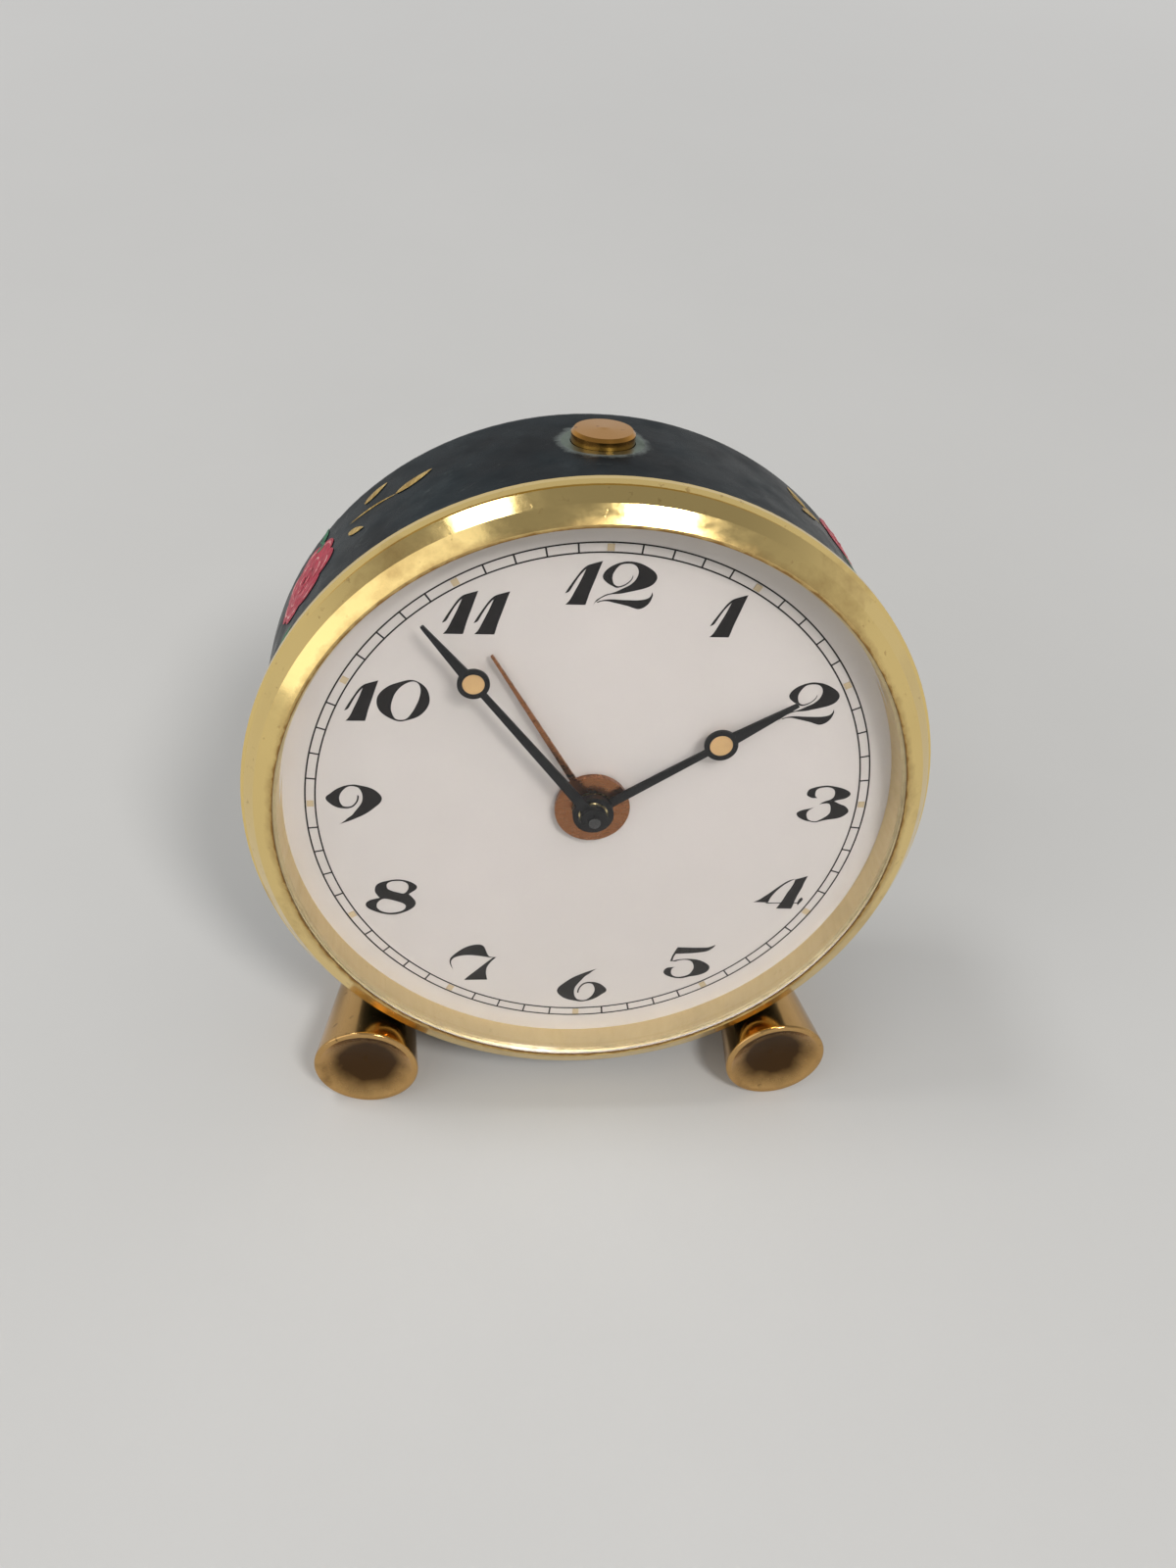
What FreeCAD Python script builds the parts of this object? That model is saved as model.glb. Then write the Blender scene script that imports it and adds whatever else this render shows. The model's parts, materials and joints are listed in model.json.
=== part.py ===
import FreeCAD, Part
import math
import os

# Small round wind-up alarm clock on two cone feet. Lengths in millimetres, angles in degrees.
# The clock is laid out in its own upright frame: dial face at y = 0, the viewer at -y, 12 o'clock at +z.
# Depths count backward from the dial face, heights of bezel, crystal and hands count forward from it.
# The movement comes first: its wheels set the plates, the plates set the case, and the case sets the bezel.
# At the end every piece is leaned back and lifted onto its feet, so that the table is z = 0 and the
# origin lies on the table, straight below the centre of the dial.

os.makedirs("parts", exist_ok=True)
Vector = FreeCAD.Vector
CENTRE = (0.0, 0.0)


def polar(origin, distance, degrees):
    """A place at a distance and an angle, counted from +x towards +z."""
    angle = math.radians(degrees)
    return (origin[0] + distance * math.cos(angle), origin[1] + distance * math.sin(angle))


def direction(start, end):
    return math.degrees(math.atan2(end[1] - start[1], end[0] - start[0]))


def distance(start, end):
    return math.hypot(end[0] - start[0], end[1] - start[1])


# Fits that several pieces share
pivot_clearance = 0.03
sliding_clearance = 0.06
screw_clearance = 0.05
snap_clearance = 0.05
end_shake = 0.1
cut_overrun = 1.0
slot_width = 0.35
slot_depth = 0.25

# Teeth: half widths at root and tip as parts of the pitch, heights as parts of the module
wheel_shares = (0.26, 0.085)
pinion_shares = (0.2, 0.1)
addendum_share = 0.95
dedendum_share = 1.25
wheel_thick = 0.5
tooth_extra_width = 0.2
wheel_rim_share = 0.8
wheel_hub_share = 0.3
wheel_spokes = 4
spoke_width = 0.8

# Going train: barrel, intermediate, centre, third, fourth and escape wheel, from their pitch radii
great_wheel_radius = 8.64
barrel_teeth = 48
intermediate_pinion_teeth = 8
intermediate_radius = 6.0
intermediate_teeth = 40
centre_pinion_teeth = 10
centre_teeth = 48
arbor_passing_gap = 0.66
third_pinion_teeth = 6
third_wheel_radius = 5.4
third_teeth = 45
fourth_pinion_teeth = 6
fourth_wheel_radius = 5.28
fourth_teeth = 48
escape_pinion_teeth = 6
escape_radius = 3.4
escape_teeth = 15
escape_tooth_depth = 0.9
escape_lean_share = 0.35
escape_shares = (0.18, 0.05)
intermediate_angle = 221.34
barrel_angle = 167.23
third_angle = 110.0
fourth_angle = 80.0
escape_angle = 340.0
pallet_distance = 4.5
pallet_angle = 330.0
balance_distance = 4.8
balance_angle = 320.0
pivot_radius = 0.3
train_arbor_radius = 0.35
stud_radius = 0.45
centre_tube_radius = 0.95
great_wheel_thick = 0.8
barrel_drum_inset = 0.64
barrel_wall = 0.4
barrel_end_gap = 0.8

# Balance, hairspring and pallet fork
balance_radius = 6.0
balance_rim_width = 0.8
balance_rim_thick = 0.6
balance_arm_width = 0.9
roller_radius = 1.1
roller_thick = 0.3
roller_pin_radius = 0.15
roller_pin_distance = 0.75
roller_gap = 0.25
hairspring_height = 0.35
hairspring_wire = 0.12
hairspring_turn_width = 0.56
hairspring_turns = 5
hairspring_inner_radius = 1.2
hairspring_steps = 12
fork_pin_gap = 0.2
fork_width = 0.7
fork_slot = 0.5
fork_prong = 0.35
pallet_reach = 2.55
pallet_spread_angle = 62.0
pallet_width = 0.6
pallet_thick = 0.4

# Motion work and hand setting
arbor_radius = 0.6
arbor_tip_radius = 0.55
centre_tip_proud = 0.4
cannon_radius = 0.95
hour_pipe_bore = 1.0
hour_pipe_radius = 1.4
alarm_pipe_bore = 1.45
alarm_pipe_radius = 1.9
minute_wheel_radius = 4.5
cannon_teeth = 10
minute_wheel_teeth = 30
minute_pinion_teeth = 8
hour_wheel_teeth = 32
minute_wheel_angle = 90.0
hour_wheel_thick = 0.4
minute_wheel_thick = 0.4
minute_stud_radius = 0.6
alarm_wheel_radius = 5.76
alarm_wheel_teeth = 36
alarm_pinion_teeth = 12
alarm_wheel_thick = 0.4
alarm_arbor_angle = 283.0
set_knob_radius = 3.4
set_knob_length = 3.0
alarm_knob_radius = 2.8
alarm_knob_length = 2.6
knob_gap = 0.9
knob_grips = 20
knob_shares = (0.25, 0.15)
grip_depth = 0.25

# Levels, each counted from the piece in front of it
dial_thick = 0.5
alarm_wheel_gap = 0.35
hour_wheel_gap = 0.5
minute_wheel_gap = 0.4
front_plate_gap = 0.65
plate_thick = 1.4
hammer_gap = 0.25
intermediate_gap = 0.45
great_wheel_gap = 0.25
centre_wheel_gap = 0.6
escape_wheel_gap = 0.3
third_wheel_gap = 0.4
balance_gap = 0.2
fourth_wheel_gap = 0.1
hairspring_gap = 0.1
rear_plate_gap = 0.85
regulator_gap = 0.05
ratchet_gap = 0.2
cover_gap = 4.1

# Movement frame
plate_margin = 0.32
pillar_radius = 1.3
pillar_inset = 2.4
pillar_angles = (112.0, 225.0, 290.0, 350.0)
plate_screw_head_radius = 1.5
plate_screw_head_thick = 0.6
cover_post_radius = 1.5
cover_post_inset = 3.2
cover_post_angles = (90.0, 215.0, 325.0)
cover_screw_head_radius = 1.35
cover_screw_head_thick = 0.45
cover_screw_radius = 0.7
cover_screw_depth = 1.6

# Winding work and folding keys, one set for the time and one for the alarm
winding_arbor_radius = 1.5
ratchet_thick = 0.8
time_ratchet_radius = 5.0
time_ratchet_teeth = 24
alarm_ratchet_teeth = 20
ratchet_tooth_depth = 0.7
ratchet_undercut_angle = 0.15
click_pivot_rise = 1.9
click_pivot_angle = 110.0
click_beak_angle = 75.0
click_width = 1.5
click_beak_width = 0.5
click_pivot_radius = 0.6
click_clearance = 0.15
key_hub_radius = 2.4
key_hub_length = 1.0
key_tongue_thick = 1.6
key_tongue_radius = 1.15
key_pin_height = 2.6
key_pin_radius = 0.45
key_ear_thick = 0.9
key_ear_radius = 1.1
key_bow_thick = 1.1
key_bow_length = 8.8
key_bow_half_width = 5.0
key_neck_length = 2.6
key_shoulder_share = 0.45
key_waist_share = 0.75
key_end_width_share = 0.55
key_notch_width_share = 0.15
key_notch_share = 0.94
key_hole_radius = 1.4
key_hole_offset = 2.4
key_hole_share = 0.62
key_side_clearance = 0.08
key_slot_clearance = 0.25

# Alarm work
alarm_barrel_teeth = 40
alarm_escape_pinion_teeth = 8
alarm_barrel_distance = 16.06
alarm_barrel_margin = 1.79
alarm_balance_gap = 0.68
alarm_barrel_angle = 332.16
alarm_drum_inset = 0.5
ratchet_post_gap = 0.4
alarm_escape_angle = 150.0
alarm_escape_radius = 3.6
alarm_escape_teeth = 14
alarm_escape_tooth_depth = 0.9
alarm_escape_shares = (0.3, 0.05)
hammer_distance = 5.6
hammer_angle = 60.0
hammer_arm_width = 1.0
hammer_head_angle = 6.08
hammer_head_inset = 0.6
hammer_head_radius = 1.4
hammer_prong_angle = 20.06
hammer_prong_inset = 0.22
hammer_thick = 0.8
gong_post_angle = 356.61
gong_post_radius = 1.3
gong_post_gap = 0.15
lever_pivot_angle = 59.53
lever_pivot_inset = 1.33
lever_elbow_angle = 28.71
lever_elbow_inset = 1.06
lever_tip_angle = 19.62
lever_tip_inset = 0.58
lever_width = 1.2
lever_thick = 0.8
lever_pad_radius = 0.9
lever_gap = 0.12

# Case
movement_ring_width = 5.4
movement_ring_seat = 1.1
case_wall = 0.8
case_edge_round = 1.6
spigot_inset = 0.35
spigot_reach = 2.0
shoulder_height = 0.8
shoulder_thick = 0.8
back_flange = 1.3
back_opening_gap = 0.6
back_rebate_width = 1.4
back_rebate_depth = 0.6

# Bezel, crystal and the ring between crystal and dial
bezel_wall = 0.75
bezel_rim_step = 0.35
bezel_rim_width = 0.65
bezel_groove_depth = 0.28
bezel_groove_width = 0.3
bezel_side_drop = 1.4
bezel_ridge_inset = 0.95
bezel_ridge_drop = 0.93
bezel_crest_inset = 1.45
bezel_lip_width = 0.3
bezel_shoulder_gap = 0.2
crystal_edge_thick = 1.15
crystal_edge_inset = 0.12
crystal_dome_rise = 1.9
crystal_flat_width = 0.7
crystal_side_clearance = 0.03
ring_lip_thick = 0.18
ring_lip_width = 0.32
ring_taper_width = 0.3
ring_seat_gap = 0.03

# Dial
dial_side_clearance = 0.1
dial_hole_radius = 2.5
track_inset = 2.5
hour_mark_width = 0.62
hour_mark_thick = 0.08
hours = 12

# Hands, at the time shown; angles clockwise from 12
minute_angle = 321.0
hour_angle = 56.75
alarm_angle = 328.6
hand_thick = 0.28
minute_tip_inset = 0.9
minute_ring_setback = 7.0
minute_ring_radius = 1.42
minute_lume_radius = 0.97
minute_shaft_width = 1.05
minute_neck_width = 0.55
minute_spear_width = 1.1
minute_tip_width = 0.3
minute_boss_radius = 1.25
minute_hand_gap = 0.17
hour_tip_inset = 4.6
hour_ring_setback = 7.8
hour_ring_radius = 1.55
hour_lume_radius = 1.06
hour_shaft_width = 0.95
hour_neck_width = 0.6
hour_spear_width = 1.3
hour_tip_width = 0.35
hour_boss_radius = 1.9
hour_hand_gap = 0.32
lume_thick = 0.16
alarm_hand_inset = 7.2
alarm_disc_radius = 3.5
alarm_disc_gap = 0.35
alarm_disc_thick = 0.6
alarm_hand_width = 0.7
alarm_tip_width = 0.25
boss_height = 0.45

# Feet: cones that lie with their upper line parallel to the case wall
foot_face_radius = 5.35
foot_half_angle = 7.5
foot_azimuth = 34.3
foot_front_height = 2.6
foot_back_reach = 0.4
foot_case_gap = 0.75
foot_rim_width = 0.6
foot_rim_round = 0.25
foot_dish_depth = 1.3
foot_end_round = 0.5
collar_radius = 1.9
collar_setback = 0.25
foot_screw_radius = 0.8
foot_screw_head_radius = 1.8
foot_screw_head_thick = 0.8
foot_screw_depth = 3.2

# Alarm stop button in the top of the case
button_setback = 1.6
button_radius = 2.85
button_chamfer_width = 0.25
button_chamfer_height = 0.3
button_proud = 1.0
button_dome_rise = 0.12
button_cap_height = 1.3
button_travel = 0.9
button_stem_radius = 1.2
button_stem_gap = 1.3
bush_wall = 0.85
bush_guide_length = 1.64

# Back
cover_thick = 0.7
cover_clearance = 0.05
cover_rim_height = 0.35
cover_rim_width = 1.1
arbor_hole_clearance = 0.4
regulator_thick = 0.5
regulator_ring_radius = 2.1
regulator_boss_radius = 1.2
regulator_arm_length = 6.0
regulator_arm_width = 1.0
regulator_angle = 60.0
regulator_swing = 18.0
regulator_pin_radius = 0.45
regulator_pin_proud = 1.1
regulator_slot_clearance = 0.15

# Modules of the wheels and distances between their arbors
barrel_module = 2 * great_wheel_radius / barrel_teeth
intermediate_module = 2 * intermediate_radius / intermediate_teeth
third_module = 2 * third_wheel_radius / third_teeth
fourth_module = 2 * fourth_wheel_radius / fourth_teeth
motion_module = 2 * minute_wheel_radius / minute_wheel_teeth
alarm_module = 2 * alarm_wheel_radius / alarm_wheel_teeth


def mesh_distance(module, teeth, other_teeth):
    return module * (teeth + other_teeth) / 2


# The centre wheel's tips pass just inside the intermediate wheel's arbor.
intermediate_distance = mesh_distance(intermediate_module, intermediate_teeth, centre_pinion_teeth)
centre_tip_radius = intermediate_distance - train_arbor_radius - arbor_passing_gap
centre_module = centre_tip_radius / (centre_teeth / 2 + addendum_share)
intermediate_at = polar(CENTRE, intermediate_distance, intermediate_angle)
barrel_at = polar(intermediate_at, mesh_distance(barrel_module, barrel_teeth, intermediate_pinion_teeth),
                  barrel_angle)
third_at = polar(CENTRE, mesh_distance(centre_module, centre_teeth, third_pinion_teeth), third_angle)
fourth_at = polar(third_at, mesh_distance(third_module, third_teeth, fourth_pinion_teeth), fourth_angle)
escape_at = polar(fourth_at, mesh_distance(fourth_module, fourth_teeth, escape_pinion_teeth), escape_angle)
pallet_at = polar(escape_at, pallet_distance, pallet_angle)
balance_at = polar(pallet_at, balance_distance, balance_angle)
minute_stud_distance = mesh_distance(motion_module, cannon_teeth, minute_wheel_teeth)
minute_stud_at = polar(CENTRE, minute_stud_distance, minute_wheel_angle)
alarm_arbor_at = polar(CENTRE, mesh_distance(alarm_module, alarm_wheel_teeth, alarm_pinion_teeth),
                       alarm_arbor_angle)
# The alarm drum fills the room beside the balance.
alarm_barrel_at = polar(CENTRE, alarm_barrel_distance, alarm_barrel_angle)
alarm_drum_radius = distance(alarm_barrel_at, balance_at) - balance_radius - alarm_balance_gap
alarm_great_radius = alarm_drum_radius + alarm_drum_inset
alarm_barrel_module = 2 * alarm_great_radius / alarm_barrel_teeth

# Plates, case and bezel, from the inside outward; the plates take in both barrels
barrel_reach = distance(CENTRE, barrel_at) + great_wheel_radius + addendum_share * barrel_module
alarm_barrel_reach = alarm_barrel_distance + alarm_great_radius + addendum_share * alarm_barrel_module
plate_radius = max(barrel_reach + plate_margin, alarm_barrel_reach + alarm_barrel_margin)
case_inner_radius = plate_radius + movement_ring_width
case_radius = case_inner_radius + case_wall
spigot_radius = case_radius - spigot_inset
back_opening_radius = plate_radius + back_opening_gap
bezel_side_radius = spigot_radius + snap_clearance + bezel_wall
bezel_rim_radius = bezel_side_radius + bezel_rim_step
bezel_ridge_radius = bezel_side_radius - bezel_ridge_inset
bezel_crest_radius = bezel_ridge_radius - bezel_crest_inset
bezel_lip_radius = bezel_crest_radius - bezel_lip_width
crystal_radius = bezel_lip_radius - crystal_side_clearance
ring_front_radius = crystal_radius - ring_lip_width
ring_dial_radius = ring_front_radius - ring_taper_width
dial_radius = case_inner_radius - dial_side_clearance
track_radius = ring_dial_radius - track_inset
minute_hand_length = track_radius - minute_tip_inset
hour_hand_length = track_radius - hour_tip_inset
alarm_hand_length = track_radius - alarm_hand_inset
minute_ring_distance = minute_hand_length - minute_ring_setback
hour_ring_distance = hour_hand_length - hour_ring_setback

# Depths behind the dial face
alarm_wheel_depth = dial_thick + alarm_wheel_gap
hour_wheel_depth = alarm_wheel_depth + alarm_wheel_thick + hour_wheel_gap
minute_wheel_depth = hour_wheel_depth + hour_wheel_thick + minute_wheel_gap
front_plate_depth = minute_wheel_depth + minute_wheel_thick + front_plate_gap
front_plate_back = front_plate_depth + plate_thick
hammer_depth = front_plate_back + hammer_gap
intermediate_depth = front_plate_back + intermediate_gap
great_wheel_depth = intermediate_depth + wheel_thick + great_wheel_gap
centre_wheel_depth = great_wheel_depth + great_wheel_thick + centre_wheel_gap
escape_wheel_depth = centre_wheel_depth + wheel_thick + escape_wheel_gap
third_wheel_depth = escape_wheel_depth + pallet_thick + third_wheel_gap
balance_depth = third_wheel_depth + wheel_thick + balance_gap
fourth_wheel_depth = balance_depth + balance_rim_thick + fourth_wheel_gap
hairspring_depth = fourth_wheel_depth + wheel_thick + hairspring_gap
rear_plate_depth = hairspring_depth + hairspring_height + rear_plate_gap
rear_plate_back = rear_plate_depth + plate_thick
regulator_depth = rear_plate_back + regulator_gap
ratchet_depth = rear_plate_back + ratchet_gap
cover_front = rear_plate_back + cover_gap
case_depth = cover_front + back_rebate_depth
cover_back = case_depth + cover_rim_height
shoulder_depth = front_plate_depth + snap_clearance
middle_depth = (front_plate_back + rear_plate_depth) / 2
button_depth = middle_depth + button_setback
lever_depth = button_depth - lever_thick / 2
collar_depth = case_depth / 2 + collar_setback
foot_length = foot_front_height + case_depth + foot_back_reach
barrel_drum_length = rear_plate_depth - barrel_end_gap - great_wheel_depth - great_wheel_thick

# Heights in front of the dial face
bezel_shoulder_height = spigot_reach + bezel_shoulder_gap
bezel_crest_height = (bezel_shoulder_height + ring_lip_thick + ring_seat_gap + crystal_edge_thick
                      + crystal_edge_inset)
bezel_ridge_height = bezel_crest_height - bezel_ridge_drop
bezel_side_height = bezel_ridge_height - bezel_side_drop
alarm_disc_front = alarm_disc_gap + alarm_disc_thick
hour_hand_front = alarm_disc_front + hour_hand_gap + hand_thick
minute_hand_front = hour_hand_front + boss_height + minute_hand_gap + hand_thick
centre_tip_height = minute_hand_front + boss_height + centre_tip_proud

# Alarm work and stop lever, kept inside the plates or just beside them
alarm_escape_at = polar(alarm_barrel_at,
                        mesh_distance(alarm_barrel_module, alarm_barrel_teeth, alarm_escape_pinion_teeth),
                        alarm_escape_angle)
hammer_at = polar(alarm_escape_at, hammer_distance, hammer_angle)
gong_post_distance = back_opening_radius + gong_post_radius + gong_post_gap
gong_post_at = polar(CENTRE, gong_post_distance, gong_post_angle)
hammer_head_at = polar(CENTRE, gong_post_distance - hammer_head_inset, hammer_head_angle)
hammer_prong_at = polar(CENTRE, gong_post_distance - hammer_prong_inset, hammer_prong_angle)
lever_pivot_at = polar(CENTRE, plate_radius - lever_pivot_inset, lever_pivot_angle)
lever_elbow_at = polar(CENTRE, plate_radius - lever_elbow_inset, lever_elbow_angle)
lever_tip_at = polar(CENTRE, plate_radius - lever_tip_inset, lever_tip_angle)
pillar_places = [polar(CENTRE, plate_radius - pillar_inset, angle) for angle in pillar_angles]
cover_post_places = [polar(CENTRE, plate_radius - cover_post_inset, angle) for angle in cover_post_angles]
train_places = [intermediate_at, third_at, fourth_at, escape_at, balance_at, alarm_escape_at, lever_pivot_at]
winding_places = [barrel_at, alarm_barrel_at]
alarm_ratchet_radius = distance(alarm_barrel_at, cover_post_places[-1]) - cover_post_radius - ratchet_post_gap
fork_length = balance_distance - roller_pin_distance - roller_pin_radius - fork_pin_gap - fork_width
bush_radius = button_radius + bush_wall
button_stem_length = case_radius + button_proud - button_cap_height - plate_radius - button_stem_gap


def rod(radius, front, back, place=CENTRE):
    return Part.makeCylinder(radius, back - front, Vector(place[0], front, place[1]), Vector(0, 1, 0))


def tube(radius, bore, front, back, place=CENTRE):
    return rod(radius, front, back, place).cut(rod(bore, front - cut_overrun, back + cut_overrun, place))


def turned(profile, place=CENTRE):
    """Solid of revolution about the line through the place, along y; profile points are (radius, y)."""
    points = [Vector(place[0] + radius, y, place[1]) for radius, y in profile]
    face = Part.Face(Part.makePolygon(points + points[:1]))
    return face.revolve(Vector(place[0], 0, place[1]), Vector(0, 1, 0), 360)


def flat(points, front, back):
    """Plate with the outline of the points (x, z), from front to back."""
    corners = [Vector(x, front, z) for x, z in points]
    face = Part.Face(Part.makePolygon(corners + corners[:1]))
    return face.extrude(Vector(0, back - front, 0))


def bar(start, end, width, front, back):
    """Straight flat bar between two places."""
    angle = direction(start, end)
    sides = [polar(start, width / 2, angle + 90), polar(start, width / 2, angle - 90)]
    ends = [polar(end, width / 2, angle - 90), polar(end, width / 2, angle + 90)]
    return flat(sides + ends, front, back)


def rounded(solid, size, rings):
    """Fillet the circular edges that have the radius and y of the given rings."""
    chosen = []
    for edge in solid.Edges:
        if not hasattr(edge.Curve, "Radius"):
            continue
        for radius, y in rings:
            if abs(edge.Curve.Radius - radius) < end_shake and abs(edge.Curve.Center.y - y) < end_shake:
                chosen.append(edge)
    return solid.makeFillet(size, chosen)


def fused(solids):
    shape = solids[0]
    if len(solids) > 1:
        shape = shape.multiFuse(solids[1:])
    return shape.removeSplitter()


def group(solids):
    return Part.makeCompound(solids)


# Teeth

def tooth_ring(count, root, tip, shares, phase, place, lean=0.0):
    """Outline of a toothed wheel; shares are the half widths at root and tip as parts of the pitch."""
    pitch = 360 / count
    points = []
    for index in range(count):
        middle = phase + index * pitch
        points.append(polar(place, root, middle - shares[0] * pitch))
        points.append(polar(place, tip, middle + (lean - shares[1]) * pitch))
        points.append(polar(place, tip, middle + (lean + shares[1]) * pitch))
        points.append(polar(place, root, middle + shares[0] * pitch))
    return points


def gear(module, teeth, shares, phase, front, back, place=CENTRE):
    pitch_radius = module * teeth / 2
    root = pitch_radius - dedendum_share * module
    tip = pitch_radius + addendum_share * module
    return flat(tooth_ring(teeth, root, tip, shares, phase, place), front, back)


def meshing_phase(place, phase, teeth, other_place, other_teeth):
    """Phase that puts a tooth gap of the other wheel where this wheel has a tooth."""
    line = direction(place, other_place)
    step = (line - phase) * teeth / 360
    return line + 180 - (360 / other_teeth) * (0.5 - step)


def crossed(wheel, module, teeth, front, back, place):
    """Cut the openings between the spokes of a wheel."""
    pitch_radius = module * teeth / 2
    window = tube(pitch_radius * wheel_rim_share, pitch_radius * wheel_hub_share, front - cut_overrun,
                  back + cut_overrun, place)
    for index in range(wheel_spokes // 2):
        angle = index * 360 / wheel_spokes
        start = polar(place, pitch_radius, angle)
        end = polar(place, pitch_radius, angle + 180)
        window = window.cut(bar(start, end, spoke_width, front - 2 * cut_overrun, back + 2 * cut_overrun))
    return wheel.cut(window)


def train_arbor(place, radius=train_arbor_radius):
    """Arbor between the plates with a thinner pivot in each plate."""
    body = rod(radius, front_plate_back + end_shake, rear_plate_depth - end_shake, place)
    pivots = rod(pivot_radius, front_plate_depth, rear_plate_back, place)
    return body.fuse(pivots)


# Phases of the teeth: a tooth of one wheel stands in a gap of the next
barrel_phase = 0.0
intermediate_pinion_phase = meshing_phase(barrel_at, barrel_phase, barrel_teeth, intermediate_at,
                                          intermediate_pinion_teeth)
intermediate_phase = 0.0
centre_pinion_phase = meshing_phase(intermediate_at, intermediate_phase, intermediate_teeth, CENTRE,
                                    centre_pinion_teeth)
centre_phase = 0.0
third_pinion_phase = meshing_phase(CENTRE, centre_phase, centre_teeth, third_at, third_pinion_teeth)
third_phase = 0.0
fourth_pinion_phase = meshing_phase(third_at, third_phase, third_teeth, fourth_at, fourth_pinion_teeth)
fourth_phase = 0.0
escape_pinion_phase = meshing_phase(fourth_at, fourth_phase, fourth_teeth, escape_at, escape_pinion_teeth)
cannon_phase = 0.0
minute_wheel_phase = meshing_phase(CENTRE, cannon_phase, cannon_teeth, minute_stud_at, minute_wheel_teeth)
minute_pinion_phase = 0.0
hour_wheel_phase = meshing_phase(minute_stud_at, minute_pinion_phase, minute_pinion_teeth, CENTRE,
                                 hour_wheel_teeth)
alarm_pinion_phase = 0.0
alarm_wheel_phase = meshing_phase(alarm_arbor_at, alarm_pinion_phase, alarm_pinion_teeth, CENTRE,
                                  alarm_wheel_teeth)
alarm_barrel_phase = 0.0
alarm_escape_pinion_phase = meshing_phase(alarm_barrel_at, alarm_barrel_phase, alarm_barrel_teeth,
                                          alarm_escape_at, alarm_escape_pinion_teeth)


# Case, bezel, crystal and dial

def top_bore(radius, low, high):
    """Cylinder along the button's line, between two heights above the case axis."""
    return Part.makeCylinder(radius, high - low, Vector(0, button_depth, low), Vector(0, 0, 1))


def foot_radial(side):
    """Unit vector from the case axis to a foot; side is 1 on the viewer's right and -1 on the left."""
    angle = math.radians(foot_azimuth)
    return Vector(side * math.sin(angle), 0, -math.cos(angle))


def foot_bore(side, radius, low, high):
    """Cylinder along a foot screw's line, between two distances from the case axis."""
    ray = foot_radial(side)
    start = ray * low + Vector(0, collar_depth, 0)
    return Part.makeCylinder(radius, high - low, start, ray)


def make_case_band():
    inner = case_inner_radius
    shoulder_back = shoulder_depth + shoulder_thick
    rebate_radius = back_opening_radius + back_rebate_width
    profile = [
        (spigot_radius, -spigot_reach),
        (spigot_radius, -snap_clearance),
        (case_radius, -snap_clearance),
        (case_radius, case_depth),
        (rebate_radius, case_depth),
        (rebate_radius, cover_front),
        (back_opening_radius, cover_front),
        (back_opening_radius, case_depth - back_flange),
        (inner, case_depth - back_flange),
        (inner, shoulder_back),
        (inner - shoulder_height, shoulder_back),
        (inner - shoulder_height, shoulder_depth),
        (inner, shoulder_depth),
        (inner, -spigot_reach),
    ]
    band = rounded(turned(profile), case_edge_round, [(case_radius, case_depth)])
    band = band.cut(top_bore(bush_radius, inner - case_wall, case_radius + cut_overrun))
    for side in (-1, 1):
        band = band.cut(foot_bore(side, foot_screw_radius + screw_clearance, inner - cut_overrun,
                                  case_radius + cut_overrun))
    return band


def make_bezel():
    rim_back = snap_clearance * 2
    rim_front = rim_back + bezel_rim_width
    groove_front = bezel_side_height - bezel_groove_width / 2
    groove_radius = bezel_side_radius - bezel_groove_depth
    bore = spigot_radius + snap_clearance
    profile = [
        (bezel_lip_radius, -bezel_crest_height),
        (bezel_crest_radius, -bezel_crest_height),
        (bezel_ridge_radius, -bezel_ridge_height),
        (bezel_side_radius, -bezel_side_height),
        (groove_radius, -groove_front),
        (groove_radius, -rim_front - bezel_groove_width / 2),
        (bezel_rim_radius, -rim_front),
        (bezel_rim_radius, -rim_back),
        (bore, -rim_back),
        (bore, -bezel_shoulder_height),
        (bezel_lip_radius, -bezel_shoulder_height),
    ]
    return turned(profile)


crystal_front = -bezel_crest_height + crystal_edge_inset
crystal_back = crystal_front + crystal_edge_thick


def dome(radius, rim_y, rise):
    """Cap of a sphere that stands forward of rim_y by rise, as a solid lens."""
    ball_radius = (radius ** 2 + rise ** 2) / (2 * rise)
    middle = rim_y - rise + ball_radius
    ball = Part.makeSphere(ball_radius, Vector(0, middle, 0), Vector(0, -1, 0))
    return ball.common(rod(radius, rim_y - 2 * rise, rim_y))


def make_crystal():
    body = rod(crystal_radius, crystal_front, crystal_back)
    body = body.fuse(dome(crystal_radius, crystal_front, crystal_dome_rise))
    inner_radius = crystal_radius - crystal_flat_width
    return body.cut(dome(inner_radius, crystal_back, crystal_dome_rise)).removeSplitter()


def make_dial_ring():
    lip_front = crystal_back + ring_seat_gap
    body_front = -bezel_shoulder_height + ring_seat_gap
    profile = [
        (ring_dial_radius, 0),
        (dial_radius, 0),
        (dial_radius, body_front),
        (crystal_radius, body_front),
        (crystal_radius, lip_front),
        (ring_front_radius, lip_front),
    ]
    return turned(profile)


def make_dial():
    return tube(dial_radius, dial_hole_radius, 0, dial_thick)


def make_hour_marks():
    """Twelve square dots of luminous paint in the minute track."""
    marks = []
    for index in range(hours):
        angle = index * 360 / hours
        start = polar(CENTRE, track_radius - hour_mark_width / 2, angle)
        end = polar(CENTRE, track_radius + hour_mark_width / 2, angle)
        marks.append(bar(start, end, hour_mark_width, -hour_mark_thick, 0))
    return group(marks)


# Hands, drawn pointing to 12 and turned to their angle

def turned_to(shape, clockwise):
    shape.rotate(Vector(0, 0, 0), Vector(0, 1, 0), clockwise)
    return shape


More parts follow.
